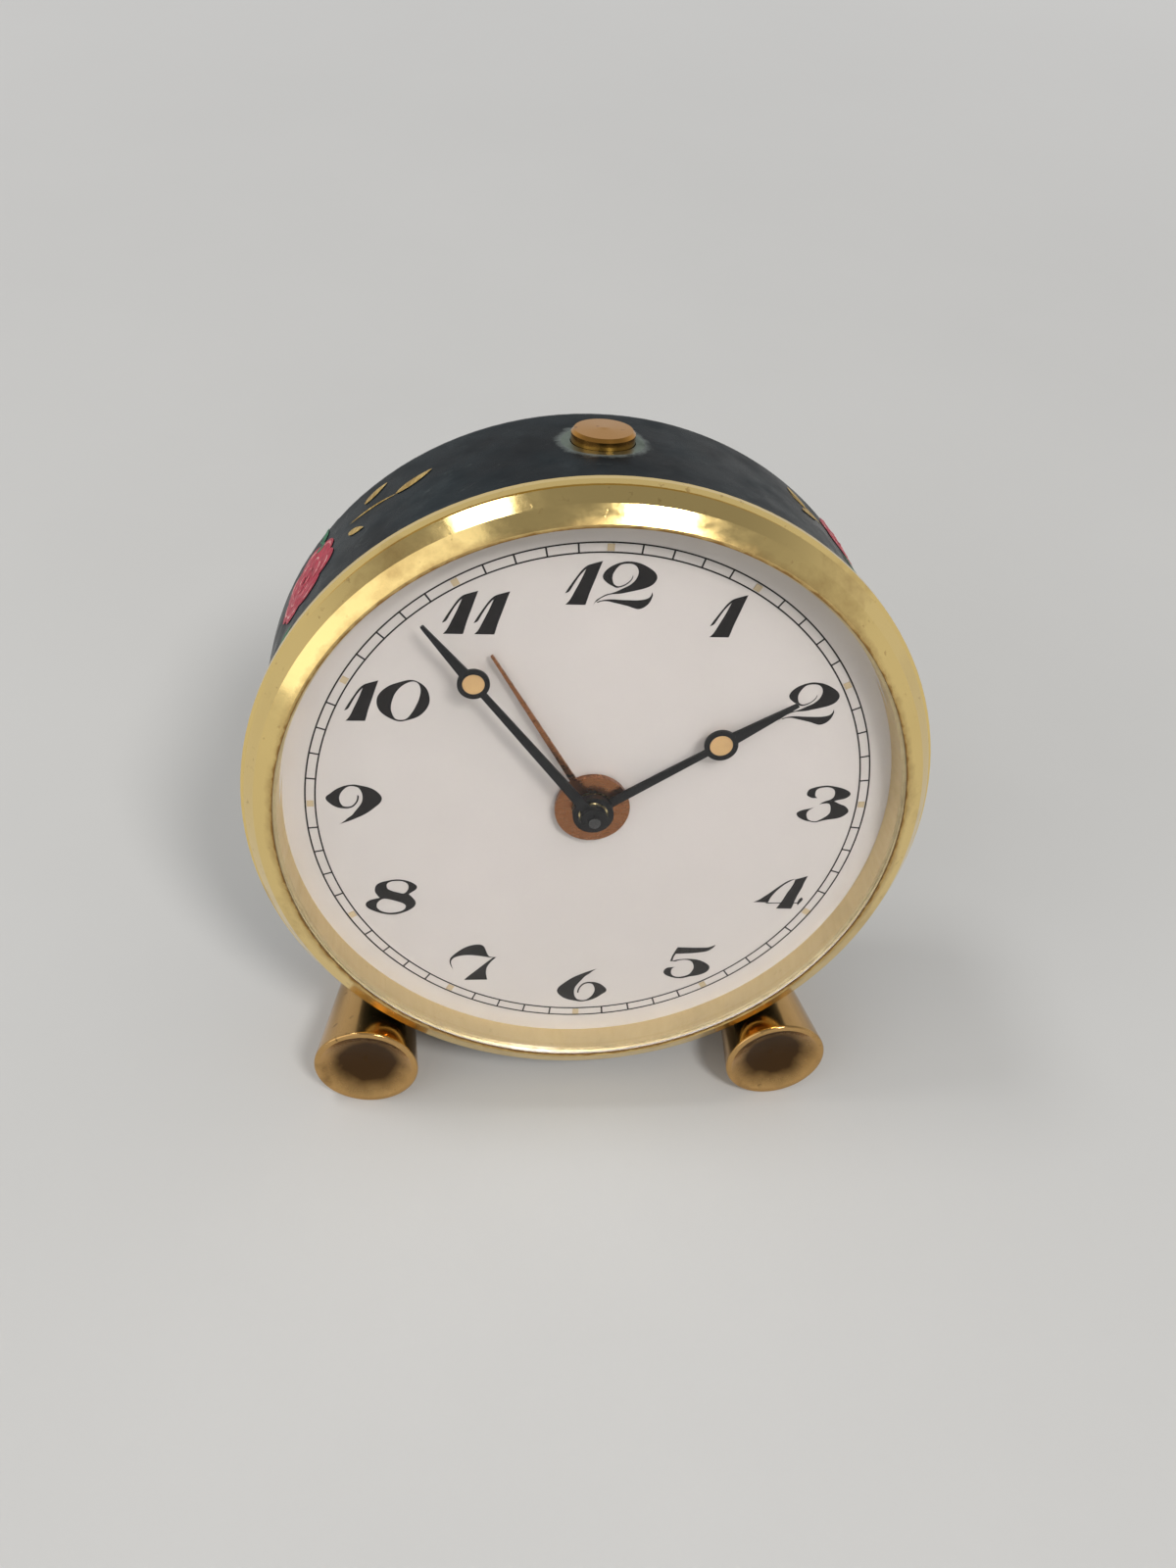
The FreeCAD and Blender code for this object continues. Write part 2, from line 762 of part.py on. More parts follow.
def ring_hand(front, length, ring_place, ring_radius, lume_radius, widths, boss_radius, bore, angle):
    """Hand with a ring for luminous paint; widths are those at boss, neck, spear and tip."""
    boss_width, neck_width, spear_width, tip_width = widths
    back = front + hand_thick
    shaft = flat([(-boss_width / 2, 0), (boss_width / 2, 0), (neck_width / 2, ring_place),
                  (-neck_width / 2, ring_place)], front, back)
    spear = flat([(-spear_width / 2, ring_place), (spear_width / 2, ring_place), (tip_width / 2, length),
                  (-tip_width / 2, length)], front, back)
    ring = rod(ring_radius, front, back, (0, ring_place))
    boss = rod(boss_radius, front - boss_height, back)
    hand = fused([shaft, spear, ring, boss])
    hand = hand.cut(rod(lume_radius, front - cut_overrun, back + cut_overrun, (0, ring_place)))
    hand = hand.cut(rod(bore, front - boss_height - cut_overrun, back + cut_overrun))
    return turned_to(hand, angle)


def lume_disc(front, ring_place, radius, angle):
    return turned_to(rod(radius, front, front + lume_thick, (0, ring_place)), angle)


minute_widths = (minute_shaft_width, minute_neck_width, minute_spear_width, minute_tip_width)
hour_widths = (hour_shaft_width, hour_neck_width, hour_spear_width, hour_tip_width)
lume_inset = (hand_thick - lume_thick) / 2


def make_minute_hand():
    return ring_hand(-minute_hand_front, minute_hand_length, minute_ring_distance, minute_ring_radius,
                     minute_lume_radius, minute_widths, minute_boss_radius, arbor_tip_radius, minute_angle)


def make_minute_lume():
    return lume_disc(-minute_hand_front + lume_inset, minute_ring_distance, minute_lume_radius, minute_angle)


def make_hour_hand():
    return ring_hand(-hour_hand_front, hour_hand_length, hour_ring_distance, hour_ring_radius,
                     hour_lume_radius, hour_widths, hour_boss_radius, hour_pipe_radius, hour_angle)


def make_hour_lume():
    return lume_disc(-hour_hand_front + lume_inset, hour_ring_distance, hour_lume_radius, hour_angle)


def make_alarm_hand():
    front = -alarm_disc_front
    back = front + alarm_disc_thick
    needle = flat([(-alarm_hand_width / 2, 0), (alarm_hand_width / 2, 0),
                   (alarm_tip_width / 2, alarm_hand_length), (-alarm_tip_width / 2, alarm_hand_length)],
                  front, front + hand_thick)
    disc = fused([rod(alarm_disc_radius, front, back), needle])
    return turned_to(disc.cut(rod(alarm_pipe_radius, front - cut_overrun, back + cut_overrun)), alarm_angle)


# Feet

foot_top_line = bezel_rim_radius + foot_case_gap
foot_axis_start = foot_top_line + foot_face_radius * math.cos(math.radians(foot_half_angle))


def foot_placement(side):
    ray = foot_radial(side)
    tilt = math.radians(foot_half_angle)
    axis = Vector(0, math.cos(tilt), 0) - ray * math.sin(tilt)
    start = ray * foot_axis_start + Vector(0, -foot_front_height, 0)
    return FreeCAD.Placement(start, FreeCAD.Rotation(Vector(0, 1, 0), axis))


def foot_cone(side, cut_dish=True):
    end_radius = foot_face_radius - foot_length * math.tan(math.radians(foot_half_angle))
    cone = turned([(0, 0), (foot_face_radius, 0), (end_radius, foot_length), (0, foot_length)])
    if cut_dish:
        cone = rounded(cone, foot_rim_round, [(foot_face_radius, 0)])
        cone = rounded(cone, foot_end_round, [(end_radius, foot_length)])
        dish_radius = foot_face_radius - foot_rim_width
        ball_radius = (dish_radius ** 2 + foot_dish_depth ** 2) / (2 * foot_dish_depth)
        ball_middle = Vector(0, foot_dish_depth - ball_radius, 0)
        cone = cone.cut(Part.makeSphere(ball_radius, ball_middle, Vector(0, -1, 0)))
    cone.Placement = foot_placement(side)
    return cone


def make_foot(side):
    hole = foot_bore(side, foot_screw_radius + screw_clearance, case_radius,
                     foot_top_line + foot_screw_depth)
    return foot_cone(side).cut(hole)


def make_foot_collars():
    collars = []
    for side in (-1, 1):
        collar = foot_bore(side, collar_radius, case_radius - case_wall / 2, foot_top_line + case_wall)
        collar = collar.cut(foot_bore(side, foot_screw_radius + screw_clearance, case_inner_radius,
                                      foot_top_line + 2 * case_wall))
        collar = collar.cut(rod(case_radius, 0, case_depth))
        collars.append(collar.cut(foot_cone(side, False)))
    return group(collars)


def make_foot_screws():
    seat = math.sqrt(case_inner_radius ** 2 - foot_screw_head_radius ** 2)
    screws = []
    for side in (-1, 1):
        shank = foot_bore(side, foot_screw_radius, seat, foot_top_line + foot_screw_depth - end_shake)
        head = foot_bore(side, foot_screw_head_radius, seat - foot_screw_head_thick, seat)
        screws.append(fused([head, shank]))
    return group(screws)


# Alarm stop button

def make_button_bush():
    top = case_radius + cut_overrun
    cap_floor = case_radius + button_proud - button_cap_height - button_travel - sliding_clearance
    bush = top_bore(bush_radius, cap_floor - bush_guide_length, top)
    bush = bush.cut(top_bore(button_radius + sliding_clearance, cap_floor, top + cut_overrun))
    bush = bush.cut(top_bore(button_stem_radius + sliding_clearance, 0, top))
    return bush.common(rod(case_radius, 0, case_depth))


def make_stop_button():
    top = case_radius + button_proud
    under = top - button_cap_height
    profile = [
        (0, under - button_stem_length),
        (button_stem_radius, under - button_stem_length),
        (button_stem_radius, under),
        (button_radius, under),
        (button_radius, top - button_chamfer_height),
        (button_radius - button_chamfer_width, top),
        (0, top + button_dome_rise),
    ]
    points = [Vector(radius, button_depth, z) for radius, z in profile]
    face = Part.Face(Part.makePolygon(points + points[:1]))
    return face.revolve(Vector(0, button_depth, 0), Vector(0, 0, 1), 360)


# Movement frame

def make_movement_ring():
    outer = case_inner_radius - snap_clearance * 2
    return tube(outer, plate_radius - movement_ring_seat, dial_thick, front_plate_depth)


def drilled(plate, front, back):
    """Cut the pivot holes that both plates have."""
    holes = [rod(pivot_radius + pivot_clearance, front - cut_overrun, back + cut_overrun, place)
             for place in train_places]
    holes += [rod(winding_arbor_radius + pivot_clearance, front - cut_overrun, back + cut_overrun, place)
              for place in winding_places]
    holes += [rod(arbor_radius + pivot_clearance, front - cut_overrun, back + cut_overrun, place)
              for place in (CENTRE, alarm_arbor_at)]
    return plate.cut(group(holes))


def make_front_plate():
    disc = rod(plate_radius, front_plate_depth, front_plate_back)
    plate = drilled(disc, front_plate_depth, front_plate_back)
    stud_front = hour_wheel_depth - tooth_extra_width
    studs = [
        rod(minute_stud_radius, stud_front, front_plate_depth, minute_stud_at),
        rod(stud_radius, front_plate_back, hammer_depth + hammer_thick + end_shake, hammer_at),
        rod(stud_radius, front_plate_back, escape_wheel_depth + pallet_thick + end_shake, pallet_at),
    ]
    return plate.fuse(group(studs))


def make_rear_plate():
    plate = rod(plate_radius, rear_plate_depth, rear_plate_back)
    boss_back = regulator_depth + regulator_thick
    plate = plate.fuse(rod(regulator_boss_radius, rear_plate_depth, boss_back, balance_at))
    plate = drilled(plate, rear_plate_depth, boss_back)
    for place in winding_places:
        plate = plate.fuse(rod(click_pivot_radius, rear_plate_depth, ratchet_depth + ratchet_thick,
                               click_pivot(place)))
    return plate.fuse(group([rod(cover_post_radius, rear_plate_depth, cover_front, place)
                             for place in cover_post_places])).cut(
        group([rod(cover_screw_radius, cover_front - cover_screw_depth - end_shake, cover_back, place)
               for place in cover_post_places]))


def make_plate_pillars():
    return group([rod(pillar_radius, front_plate_back, rear_plate_depth, place) for place in pillar_places])


def slotted_head(radius, front, back, place):
    """Screw head that faces backwards, with its slot."""
    head = rod(radius, front, back, place)
    slot = bar(polar(place, 2 * radius, 0), polar(place, 2 * radius, 180), slot_width, back - slot_depth,
               back + cut_overrun)
    return head.cut(slot)


def make_plate_screws():
    return group([slotted_head(plate_screw_head_radius, rear_plate_back,
                               rear_plate_back + plate_screw_head_thick, place) for place in pillar_places])


# Hand setting and motion work

def knurled(radius, front, back, place):
    """Knob with grips round its edge."""
    root = radius - grip_depth
    outline = tooth_ring(knob_grips, root, radius, knob_shares, 0.0, place)
    return flat(outline, front, back)


set_knob_front = cover_back + knob_gap


def make_centre_arbor():
    tip = rod(arbor_tip_radius, -centre_tip_height, -minute_hand_front + hand_thick)
    return tip.fuse(rod(arbor_radius, -minute_hand_front + hand_thick, set_knob_front))


def make_cannon_pinion():
    front = -minute_hand_front + hand_thick
    back = front_plate_depth - end_shake
    pipe = rod(cannon_radius, front, back)
    leaves = gear(motion_module, cannon_teeth, pinion_shares, cannon_phase,
                  minute_wheel_depth - tooth_extra_width, back)
    return fused([pipe, leaves]).cut(rod(arbor_radius, front - cut_overrun, back + cut_overrun))


def make_set_knob():
    return knurled(set_knob_radius, set_knob_front, set_knob_front + set_knob_length, CENTRE)


def make_hour_wheel():
    back = hour_wheel_depth + hour_wheel_thick
    wheel = gear(motion_module, hour_wheel_teeth, wheel_shares, hour_wheel_phase, hour_wheel_depth, back)
    pipe = rod(hour_pipe_radius, -hour_hand_front, back)
    return fused([wheel, pipe]).cut(rod(hour_pipe_bore, -hour_hand_front - cut_overrun, back + cut_overrun))


def make_minute_wheel():
    back = minute_wheel_depth + minute_wheel_thick
    wheel = gear(motion_module, minute_wheel_teeth, wheel_shares, minute_wheel_phase,
                 minute_wheel_depth, back, minute_stud_at)
    leaves = gear(motion_module, minute_pinion_teeth, pinion_shares, minute_pinion_phase,
                  hour_wheel_depth - tooth_extra_width / 2, minute_wheel_depth, minute_stud_at)
    bore = rod(minute_stud_radius + pivot_clearance, 0, back + cut_overrun, minute_stud_at)
    return fused([wheel, leaves]).cut(bore)


def make_alarm_wheel():
    back = alarm_wheel_depth + alarm_wheel_thick
    wheel = gear(alarm_module, alarm_wheel_teeth, wheel_shares, alarm_wheel_phase, alarm_wheel_depth, back)
    pipe = rod(alarm_pipe_radius, -alarm_disc_front, back)
    return fused([wheel, pipe]).cut(rod(alarm_pipe_bore, -alarm_disc_front - cut_overrun, back + cut_overrun))


def make_alarm_arbor():
    front = alarm_wheel_depth - tooth_extra_width / 2
    leaves = gear(alarm_module, alarm_pinion_teeth, pinion_shares, alarm_pinion_phase, front,
                  alarm_wheel_depth + alarm_wheel_thick + tooth_extra_width / 2, alarm_arbor_at)
    return fused([leaves, rod(arbor_radius, front, set_knob_front, alarm_arbor_at)])


def make_alarm_knob():
    return knurled(alarm_knob_radius, set_knob_front, set_knob_front + alarm_knob_length, alarm_arbor_at)


# Going train

def make_barrel(place, module, teeth, phase, drum_radius):
    """Closed spring drum with its great wheel at the front end, running on the winding arbor."""
    front = great_wheel_depth
    back = front + great_wheel_thick
    wheel = gear(module, teeth, wheel_shares, phase, front, back, place)
    drum = rod(drum_radius, front, back + barrel_drum_length, place)
    hollow = tube(drum_radius - barrel_wall, winding_arbor_radius + 2 * barrel_wall, back,
                  back + barrel_drum_length - barrel_wall, place)
    bore = rod(winding_arbor_radius + pivot_clearance, front - cut_overrun,
               back + barrel_drum_length + cut_overrun, place)
    return fused([wheel, drum]).cut(hollow).cut(bore)


def make_train_wheel(place, module, teeth, phase, front, pinion):
    """Crossed wheel with its pinion on one arbor; pinion is (module, teeth, phase, front, back)."""
    back = front + wheel_thick
    disc = gear(module, teeth, wheel_shares, phase, front, back, place)
    wheel = crossed(disc, module, teeth, front, back, place)
    leaves = gear(pinion[0], pinion[1], pinion_shares, pinion[2], pinion[3], pinion[4], place)
    return fused([wheel, leaves, train_arbor(place)])


def make_intermediate_wheel():
    pinion = (barrel_module, intermediate_pinion_teeth, intermediate_pinion_phase,
              great_wheel_depth - tooth_extra_width / 2,
              great_wheel_depth + great_wheel_thick + tooth_extra_width)
    return make_train_wheel(intermediate_at, intermediate_module, intermediate_teeth, intermediate_phase,
                            intermediate_depth, pinion)


def make_centre_wheel():
    """The centre wheel turns the centre arbor through a friction fit, so its arbor is a tube."""
    back = centre_wheel_depth + wheel_thick
    wheel = gear(centre_module, centre_teeth, wheel_shares, centre_phase, centre_wheel_depth, back)
    wheel = crossed(wheel, centre_module, centre_teeth, centre_wheel_depth, back, CENTRE)
    leaves = gear(intermediate_module, centre_pinion_teeth, pinion_shares, centre_pinion_phase,
                  intermediate_depth - tooth_extra_width / 2,
                  intermediate_depth + wheel_thick + tooth_extra_width)
    sleeve = rod(centre_tube_radius, front_plate_back + end_shake, back + tooth_extra_width)
    bore = rod(arbor_radius + pivot_clearance, front_plate_depth, rear_plate_depth)
    return fused([wheel, leaves, sleeve]).cut(bore)


def make_third_wheel():
    pinion = (centre_module, third_pinion_teeth, third_pinion_phase,
              centre_wheel_depth - tooth_extra_width / 2, centre_wheel_depth + wheel_thick + tooth_extra_width)
    return make_train_wheel(third_at, third_module, third_teeth, third_phase, third_wheel_depth, pinion)


def make_fourth_wheel():
    pinion = (third_module, fourth_pinion_teeth, fourth_pinion_phase,
              third_wheel_depth - tooth_extra_width / 2, third_wheel_depth + wheel_thick + tooth_extra_width)
    return make_train_wheel(fourth_at, fourth_module, fourth_teeth, fourth_phase, fourth_wheel_depth, pinion)


def make_escape_wheel():
    back = escape_wheel_depth + pallet_thick
    outline = tooth_ring(escape_teeth, escape_radius - escape_tooth_depth, escape_radius, escape_shares, 0.0,
                         escape_at, escape_lean_share)
    wheel = flat(outline, escape_wheel_depth, back)
    leaves = gear(fourth_module, escape_pinion_teeth, pinion_shares, escape_pinion_phase,
                  fourth_wheel_depth - tooth_extra_width / 2,
                  fourth_wheel_depth + wheel_thick + tooth_extra_width, escape_at)
    return fused([wheel, leaves, train_arbor(escape_at)])


def make_pallet_fork():
    """Anchor with two pallets over the escape wheel and a forked lever towards the balance."""
    front = escape_wheel_depth
    back = front + pallet_thick
    to_escape = direction(pallet_at, escape_at)
    to_balance = direction(pallet_at, balance_at)
    pieces = [rod(fork_width, front, back, pallet_at)]
    for side in (-1, 1):
        tip = polar(pallet_at, pallet_reach, to_escape + side * pallet_spread_angle)
        pieces.append(bar(pallet_at, tip, pallet_width, front, back))
    crotch = polar(pallet_at, fork_length, to_balance)
    pieces.append(bar(pallet_at, crotch, fork_width, front, back))
    for side in (-1, 1):
        root = polar(crotch, (fork_slot + fork_prong) / 2, to_balance + side * 90)
        start = polar(root, fork_prong, to_balance + 180)
        pieces.append(bar(start, polar(root, fork_width, to_balance), fork_prong, front, back))
    sleeve = rod(fork_width, front_plate_back + end_shake, front, pallet_at)
    bore = rod(stud_radius + pivot_clearance, front_plate_back, back + cut_overrun, pallet_at)
    return fused(pieces + [sleeve]).cut(bore)


def make_balance():
    back = balance_depth + balance_rim_thick
    rim = tube(balance_radius, balance_radius - balance_rim_width, balance_depth, back, balance_at)
    start = polar(balance_at, balance_radius - balance_rim_width / 2, 0)
    end = polar(balance_at, balance_radius - balance_rim_width / 2, 180)
    arm = bar(start, end, balance_arm_width, balance_depth, back)
    roller_front = escape_wheel_depth + pallet_thick + roller_gap
    roller = rod(roller_radius, roller_front, roller_front + roller_thick, balance_at)
    pin_at = polar(balance_at, roller_pin_distance, direction(balance_at, pallet_at))
    pin = rod(roller_pin_radius, escape_wheel_depth, roller_front + roller_thick, pin_at)
    return fused([rim, arm, roller, pin, train_arbor(balance_at)])


def make_hairspring():
    """Flat spiral strip round the balance staff, with its stud to the rear plate at the outer end."""
    inside = []
    outside = []
    steps = hairspring_turns * hairspring_steps
    for index in range(steps + 1):
        radius = hairspring_inner_radius + hairspring_turn_width * index / hairspring_steps
        angle = index * 360 / hairspring_steps
        inside.append(polar(balance_at, radius - hairspring_wire / 2, angle))
        outside.append(polar(balance_at, radius + hairspring_wire / 2, angle))
    strip = flat(inside + outside[::-1], hairspring_depth, hairspring_depth + hairspring_height)
    end_radius = hairspring_inner_radius + hairspring_turn_width * hairspring_turns
    stud_at = polar(balance_at, end_radius, 0)
    stud = rod(pivot_radius, hairspring_depth, rear_plate_depth, stud_at)
    return fused([strip, stud])


# Winding work

ratchet_radii = {barrel_at: time_ratchet_radius, alarm_barrel_at: alarm_ratchet_radius}


def click_pivot(place):
    """Pivot of the click, above its ratchet wheel."""
    return polar(place, ratchet_radii[place] + click_pivot_rise, click_pivot_angle)


def make_winding_arbor(place):
    body = rod(winding_arbor_radius, front_plate_depth, cover_back + end_shake, place)
    return body


def make_ratchet(place, radius, teeth):
    outline = []
    pitch = 360 / teeth
    for index in range(teeth):
        outline.append(polar(place, radius, index * pitch))
        outline.append(polar(place, radius - ratchet_tooth_depth, index * pitch + ratchet_undercut_angle))
    wheel = flat(outline, ratchet_depth, ratchet_depth + ratchet_thick)
    return wheel.cut(rod(winding_arbor_radius, ratchet_depth - cut_overrun,
                         ratchet_depth + ratchet_thick + cut_overrun, place))


def make_click(place):
    """Pawl on its stud, with its beak just off the teeth of the ratchet wheel."""
    pivot = click_pivot(place)
    beak = polar(place, ratchet_radii[place] + click_clearance, click_beak_angle)
    along = direction(pivot, beak)
    outline = [
        polar(pivot, click_width / 2, along + 90),
        polar(pivot, click_width / 2, along - 90),
        beak,
        polar(beak, click_beak_width, along + 90),
    ]
    body = flat(outline, ratchet_depth, ratchet_depth + ratchet_thick)
    eye = rod(click_width / 2, ratchet_depth, ratchet_depth + ratchet_thick, pivot)
    bore = rod(click_pivot_radius + pivot_clearance, ratchet_depth - cut_overrun,
               ratchet_depth + ratchet_thick + cut_overrun, pivot)
    return fused([body, eye]).cut(bore)


key_hub_front = cover_back + end_shake
key_pin_y = key_hub_front + key_pin_height


def cross_rod(radius, place, half_length):
    """Rod along x through the key's pin line."""
    return Part.makeCylinder(radius, 2 * half_length, Vector(place[0] - half_length, key_pin_y, place[1]),
                             Vector(1, 0, 0))


def make_key_hub(place):
    hub = rod(key_hub_radius, key_hub_front, key_hub_front + key_hub_length, place)
    half = key_tongue_thick / 2
    tongue = Part.makeBox(key_tongue_thick, key_pin_y - key_hub_front, 2 * key_tongue_radius,
                          Vector(place[0] - half, key_hub_front, place[1] - key_tongue_radius))
    eye = cross_rod(key_tongue_radius, place, half)
    return fused([hub, tongue, eye]).cut(cross_rod(key_pin_radius, place, key_hub_radius))


def make_key_pin(place):
    return cross_rod(key_pin_radius, place, key_tongue_thick / 2 + key_ear_thick)


def make_key_bow(place):
    """Folding bow, folded down against the back: a fork on the hub's tongue that widens into two wings."""
    inner_half = key_tongue_thick / 2 + key_side_clearance
    outer_half = inner_half + key_ear_thick - key_side_clearance
    neck = key_tongue_radius + key_slot_clearance
    front = key_pin_y - key_bow_thick / 2
    back = front + key_bow_thick
    half_outline = [
        (outer_half, 0),
        (outer_half, -neck),
        (outer_half + key_ear_thick, -key_neck_length),
        (key_bow_half_width, -key_bow_length * key_shoulder_share),
        (key_bow_half_width, -key_bow_length * key_waist_share),
        (key_bow_half_width * key_end_width_share, -key_bow_length),
        (key_bow_half_width * key_notch_width_share, -key_bow_length * key_notch_share),
    ]
    points = [(place[0] + x, place[1] + z) for x, z in half_outline]
    points += [(place[0] - x, place[1] + z) for x, z in half_outline[::-1]]
    plate = flat(points, front, back)
    ears = cross_rod(key_ear_radius, place, outer_half)
    bow = fused([plate, ears])
    gap = Part.makeBox(2 * inner_half, 4 * key_ear_radius, neck + 2 * key_ear_radius,
                       Vector(place[0] - inner_half, key_pin_y - 2 * key_ear_radius, place[1] - neck))
    bow = bow.cut(gap).cut(cross_rod(key_pin_radius + pivot_clearance, place, 2 * outer_half))
    for side in (-1, 1):
        hole_at = (place[0] + side * key_hole_offset, place[1] - key_bow_length * key_hole_share)
        bow = bow.cut(rod(key_hole_radius, front - cut_overrun, back + cut_overrun, hole_at))
    return bow


# Alarm work

def make_alarm_escape_wheel():
    back = hammer_depth + hammer_thick
    outline = tooth_ring(alarm_escape_teeth, alarm_escape_radius - alarm_escape_tooth_depth,
                         alarm_escape_radius, alarm_escape_shares, 0.0, alarm_escape_at)
    wheel = flat(outline, hammer_depth, back)
    leaves = gear(alarm_barrel_module, alarm_escape_pinion_teeth, pinion_shares, alarm_escape_pinion_phase,
                  back, great_wheel_depth + great_wheel_thick + tooth_extra_width, alarm_escape_at)
    return fused([wheel, leaves, train_arbor(alarm_escape_at)])


def make_hammer():
    """Hammer lever: its tail lies beside the alarm escape wheel, its head beside the gong post."""
    front = hammer_depth
    back = front + hammer_thick
    tail_end = polar(hammer_at, hammer_distance - alarm_escape_radius - click_clearance,
                     direction(hammer_at, alarm_escape_at))
    pieces = [
        rod(hammer_arm_width, front, back, hammer_at),
        bar(hammer_at, tail_end, hammer_arm_width / 2, front, back),
        bar(hammer_at, hammer_head_at, hammer_arm_width, front, back),
        bar(hammer_head_at, hammer_prong_at, hammer_arm_width, front, back),
        rod(hammer_head_radius, front, back + hammer_thick, hammer_head_at),
    ]
    bore = rod(stud_radius + pivot_clearance, front - cut_overrun, back + cut_overrun, hammer_at)
    return fused(pieces).cut(bore)


def make_gong_post():
    """Post in the case's back flange that the hammer strikes."""
    return rod(gong_post_radius, hammer_depth - gong_post_gap, case_depth - back_flange, gong_post_at)


def make_stop_lever():
    """Lever that the button presses; its tail moves against the hammer's prong."""
    front = lever_depth
    back = front + lever_thick
    pad_top = case_radius + button_proud - button_cap_height - button_stem_length - lever_gap
    pad_at = (0.0, pad_top - lever_pad_radius)
    pieces = [
        rod(lever_width, front, back, lever_pivot_at),
        bar(lever_pivot_at, pad_at, lever_width, front, back),
        rod(lever_pad_radius, front, back, pad_at),
        bar(lever_pivot_at, lever_elbow_at, lever_width, front, back),
        rod(lever_width / 2, front, back, lever_elbow_at),
        bar(lever_elbow_at, lever_tip_at, lever_width, front, back),
        rod(lever_width / 2, hammer_depth, back, lever_tip_at),
        train_arbor(lever_pivot_at),
    ]
    return fused(pieces)


# Back

def make_back_cover():
    outer = back_opening_radius + back_rebate_width - cover_clearance
    cover = rod(outer, cover_front, cover_front + cover_thick)
    cover = cover.fuse(tube(outer, outer - cover_rim_width, cover_front, cover_back))
    holes = [rod(winding_arbor_radius + arbor_hole_clearance, cover_front - cut_overrun, cover_back, place)
             for place in winding_places]
    holes += [rod(arbor_radius + arbor_hole_clearance, cover_front - cut_overrun, cover_back, place)
              for place in (CENTRE, alarm_arbor_at)]
    holes += [rod(cover_screw_radius, cover_front - cut_overrun, cover_back, place)
              for place in cover_post_places]
    half = regulator_pin_radius + regulator_slot_clearance
    slot = tube(regulator_arm_length + half, regulator_arm_length - half,
                cover_front - cut_overrun, cover_back, balance_at)
    reach = regulator_swing + math.degrees(half / regulator_arm_length)
    wedge = [balance_at]
    for step in (-1.0, 0.0, 1.0):
        wedge.append(polar(balance_at, 2 * regulator_arm_length, regulator_angle + step * reach))
    slot = slot.common(flat(wedge, cover_front - cut_overrun, cover_back))
    return cover.cut(group(holes)).cut(slot)


def make_cover_screws():
    screws = []
    for place in cover_post_places:
        head_front = cover_front + cover_thick
        head = slotted_head(cover_screw_head_radius, head_front, head_front + cover_screw_head_thick, place)
        shank = rod(cover_screw_radius - screw_clearance, cover_front - cover_screw_depth, head_front, place)
        screws.append(fused([head, shank]))
    return group(screws)


def make_regulator():
    back = regulator_depth + regulator_thick
    pin_at = polar(balance_at, regulator_arm_length, regulator_angle)
    ring = rod(regulator_ring_radius, regulator_depth, back, balance_at)
    arm = bar(balance_at, pin_at, regulator_arm_width, regulator_depth, back)
    pin = rod(regulator_pin_radius, regulator_depth, cover_back + regulator_pin_proud, pin_at)
    bore = rod(regulator_boss_radius + pivot_clearance, rear_plate_depth, cover_back, balance_at)
    return fused([ring, arm, pin]).cut(bore)


# Lean and lift onto the feet: each cone rests along its lowest line

half_tan = math.tan(math.radians(foot_half_angle))
azimuth_cosine = math.cos(math.radians(foot_azimuth))
lean_angle = math.degrees(math.asin(half_tan / math.hypot(1, half_tan * azimuth_cosine))
                          + math.atan(half_tan * azimuth_cosine))
lean_cosine = math.cos(math.radians(lean_angle))
lean_sine = math.sin(math.radians(lean_angle))
foot_start_z = -foot_axis_start * azimuth_cosine
foot_start_height = foot_start_z * lean_cosine + foot_front_height * lean_sine
lift = foot_face_radius * math.cos(math.radians(foot_half_angle)) - foot_start_height
stance = FreeCAD.Placement(Vector(0, 0, lift), FreeCAD.Rotation(Vector(1, 0, 0), -lean_angle))


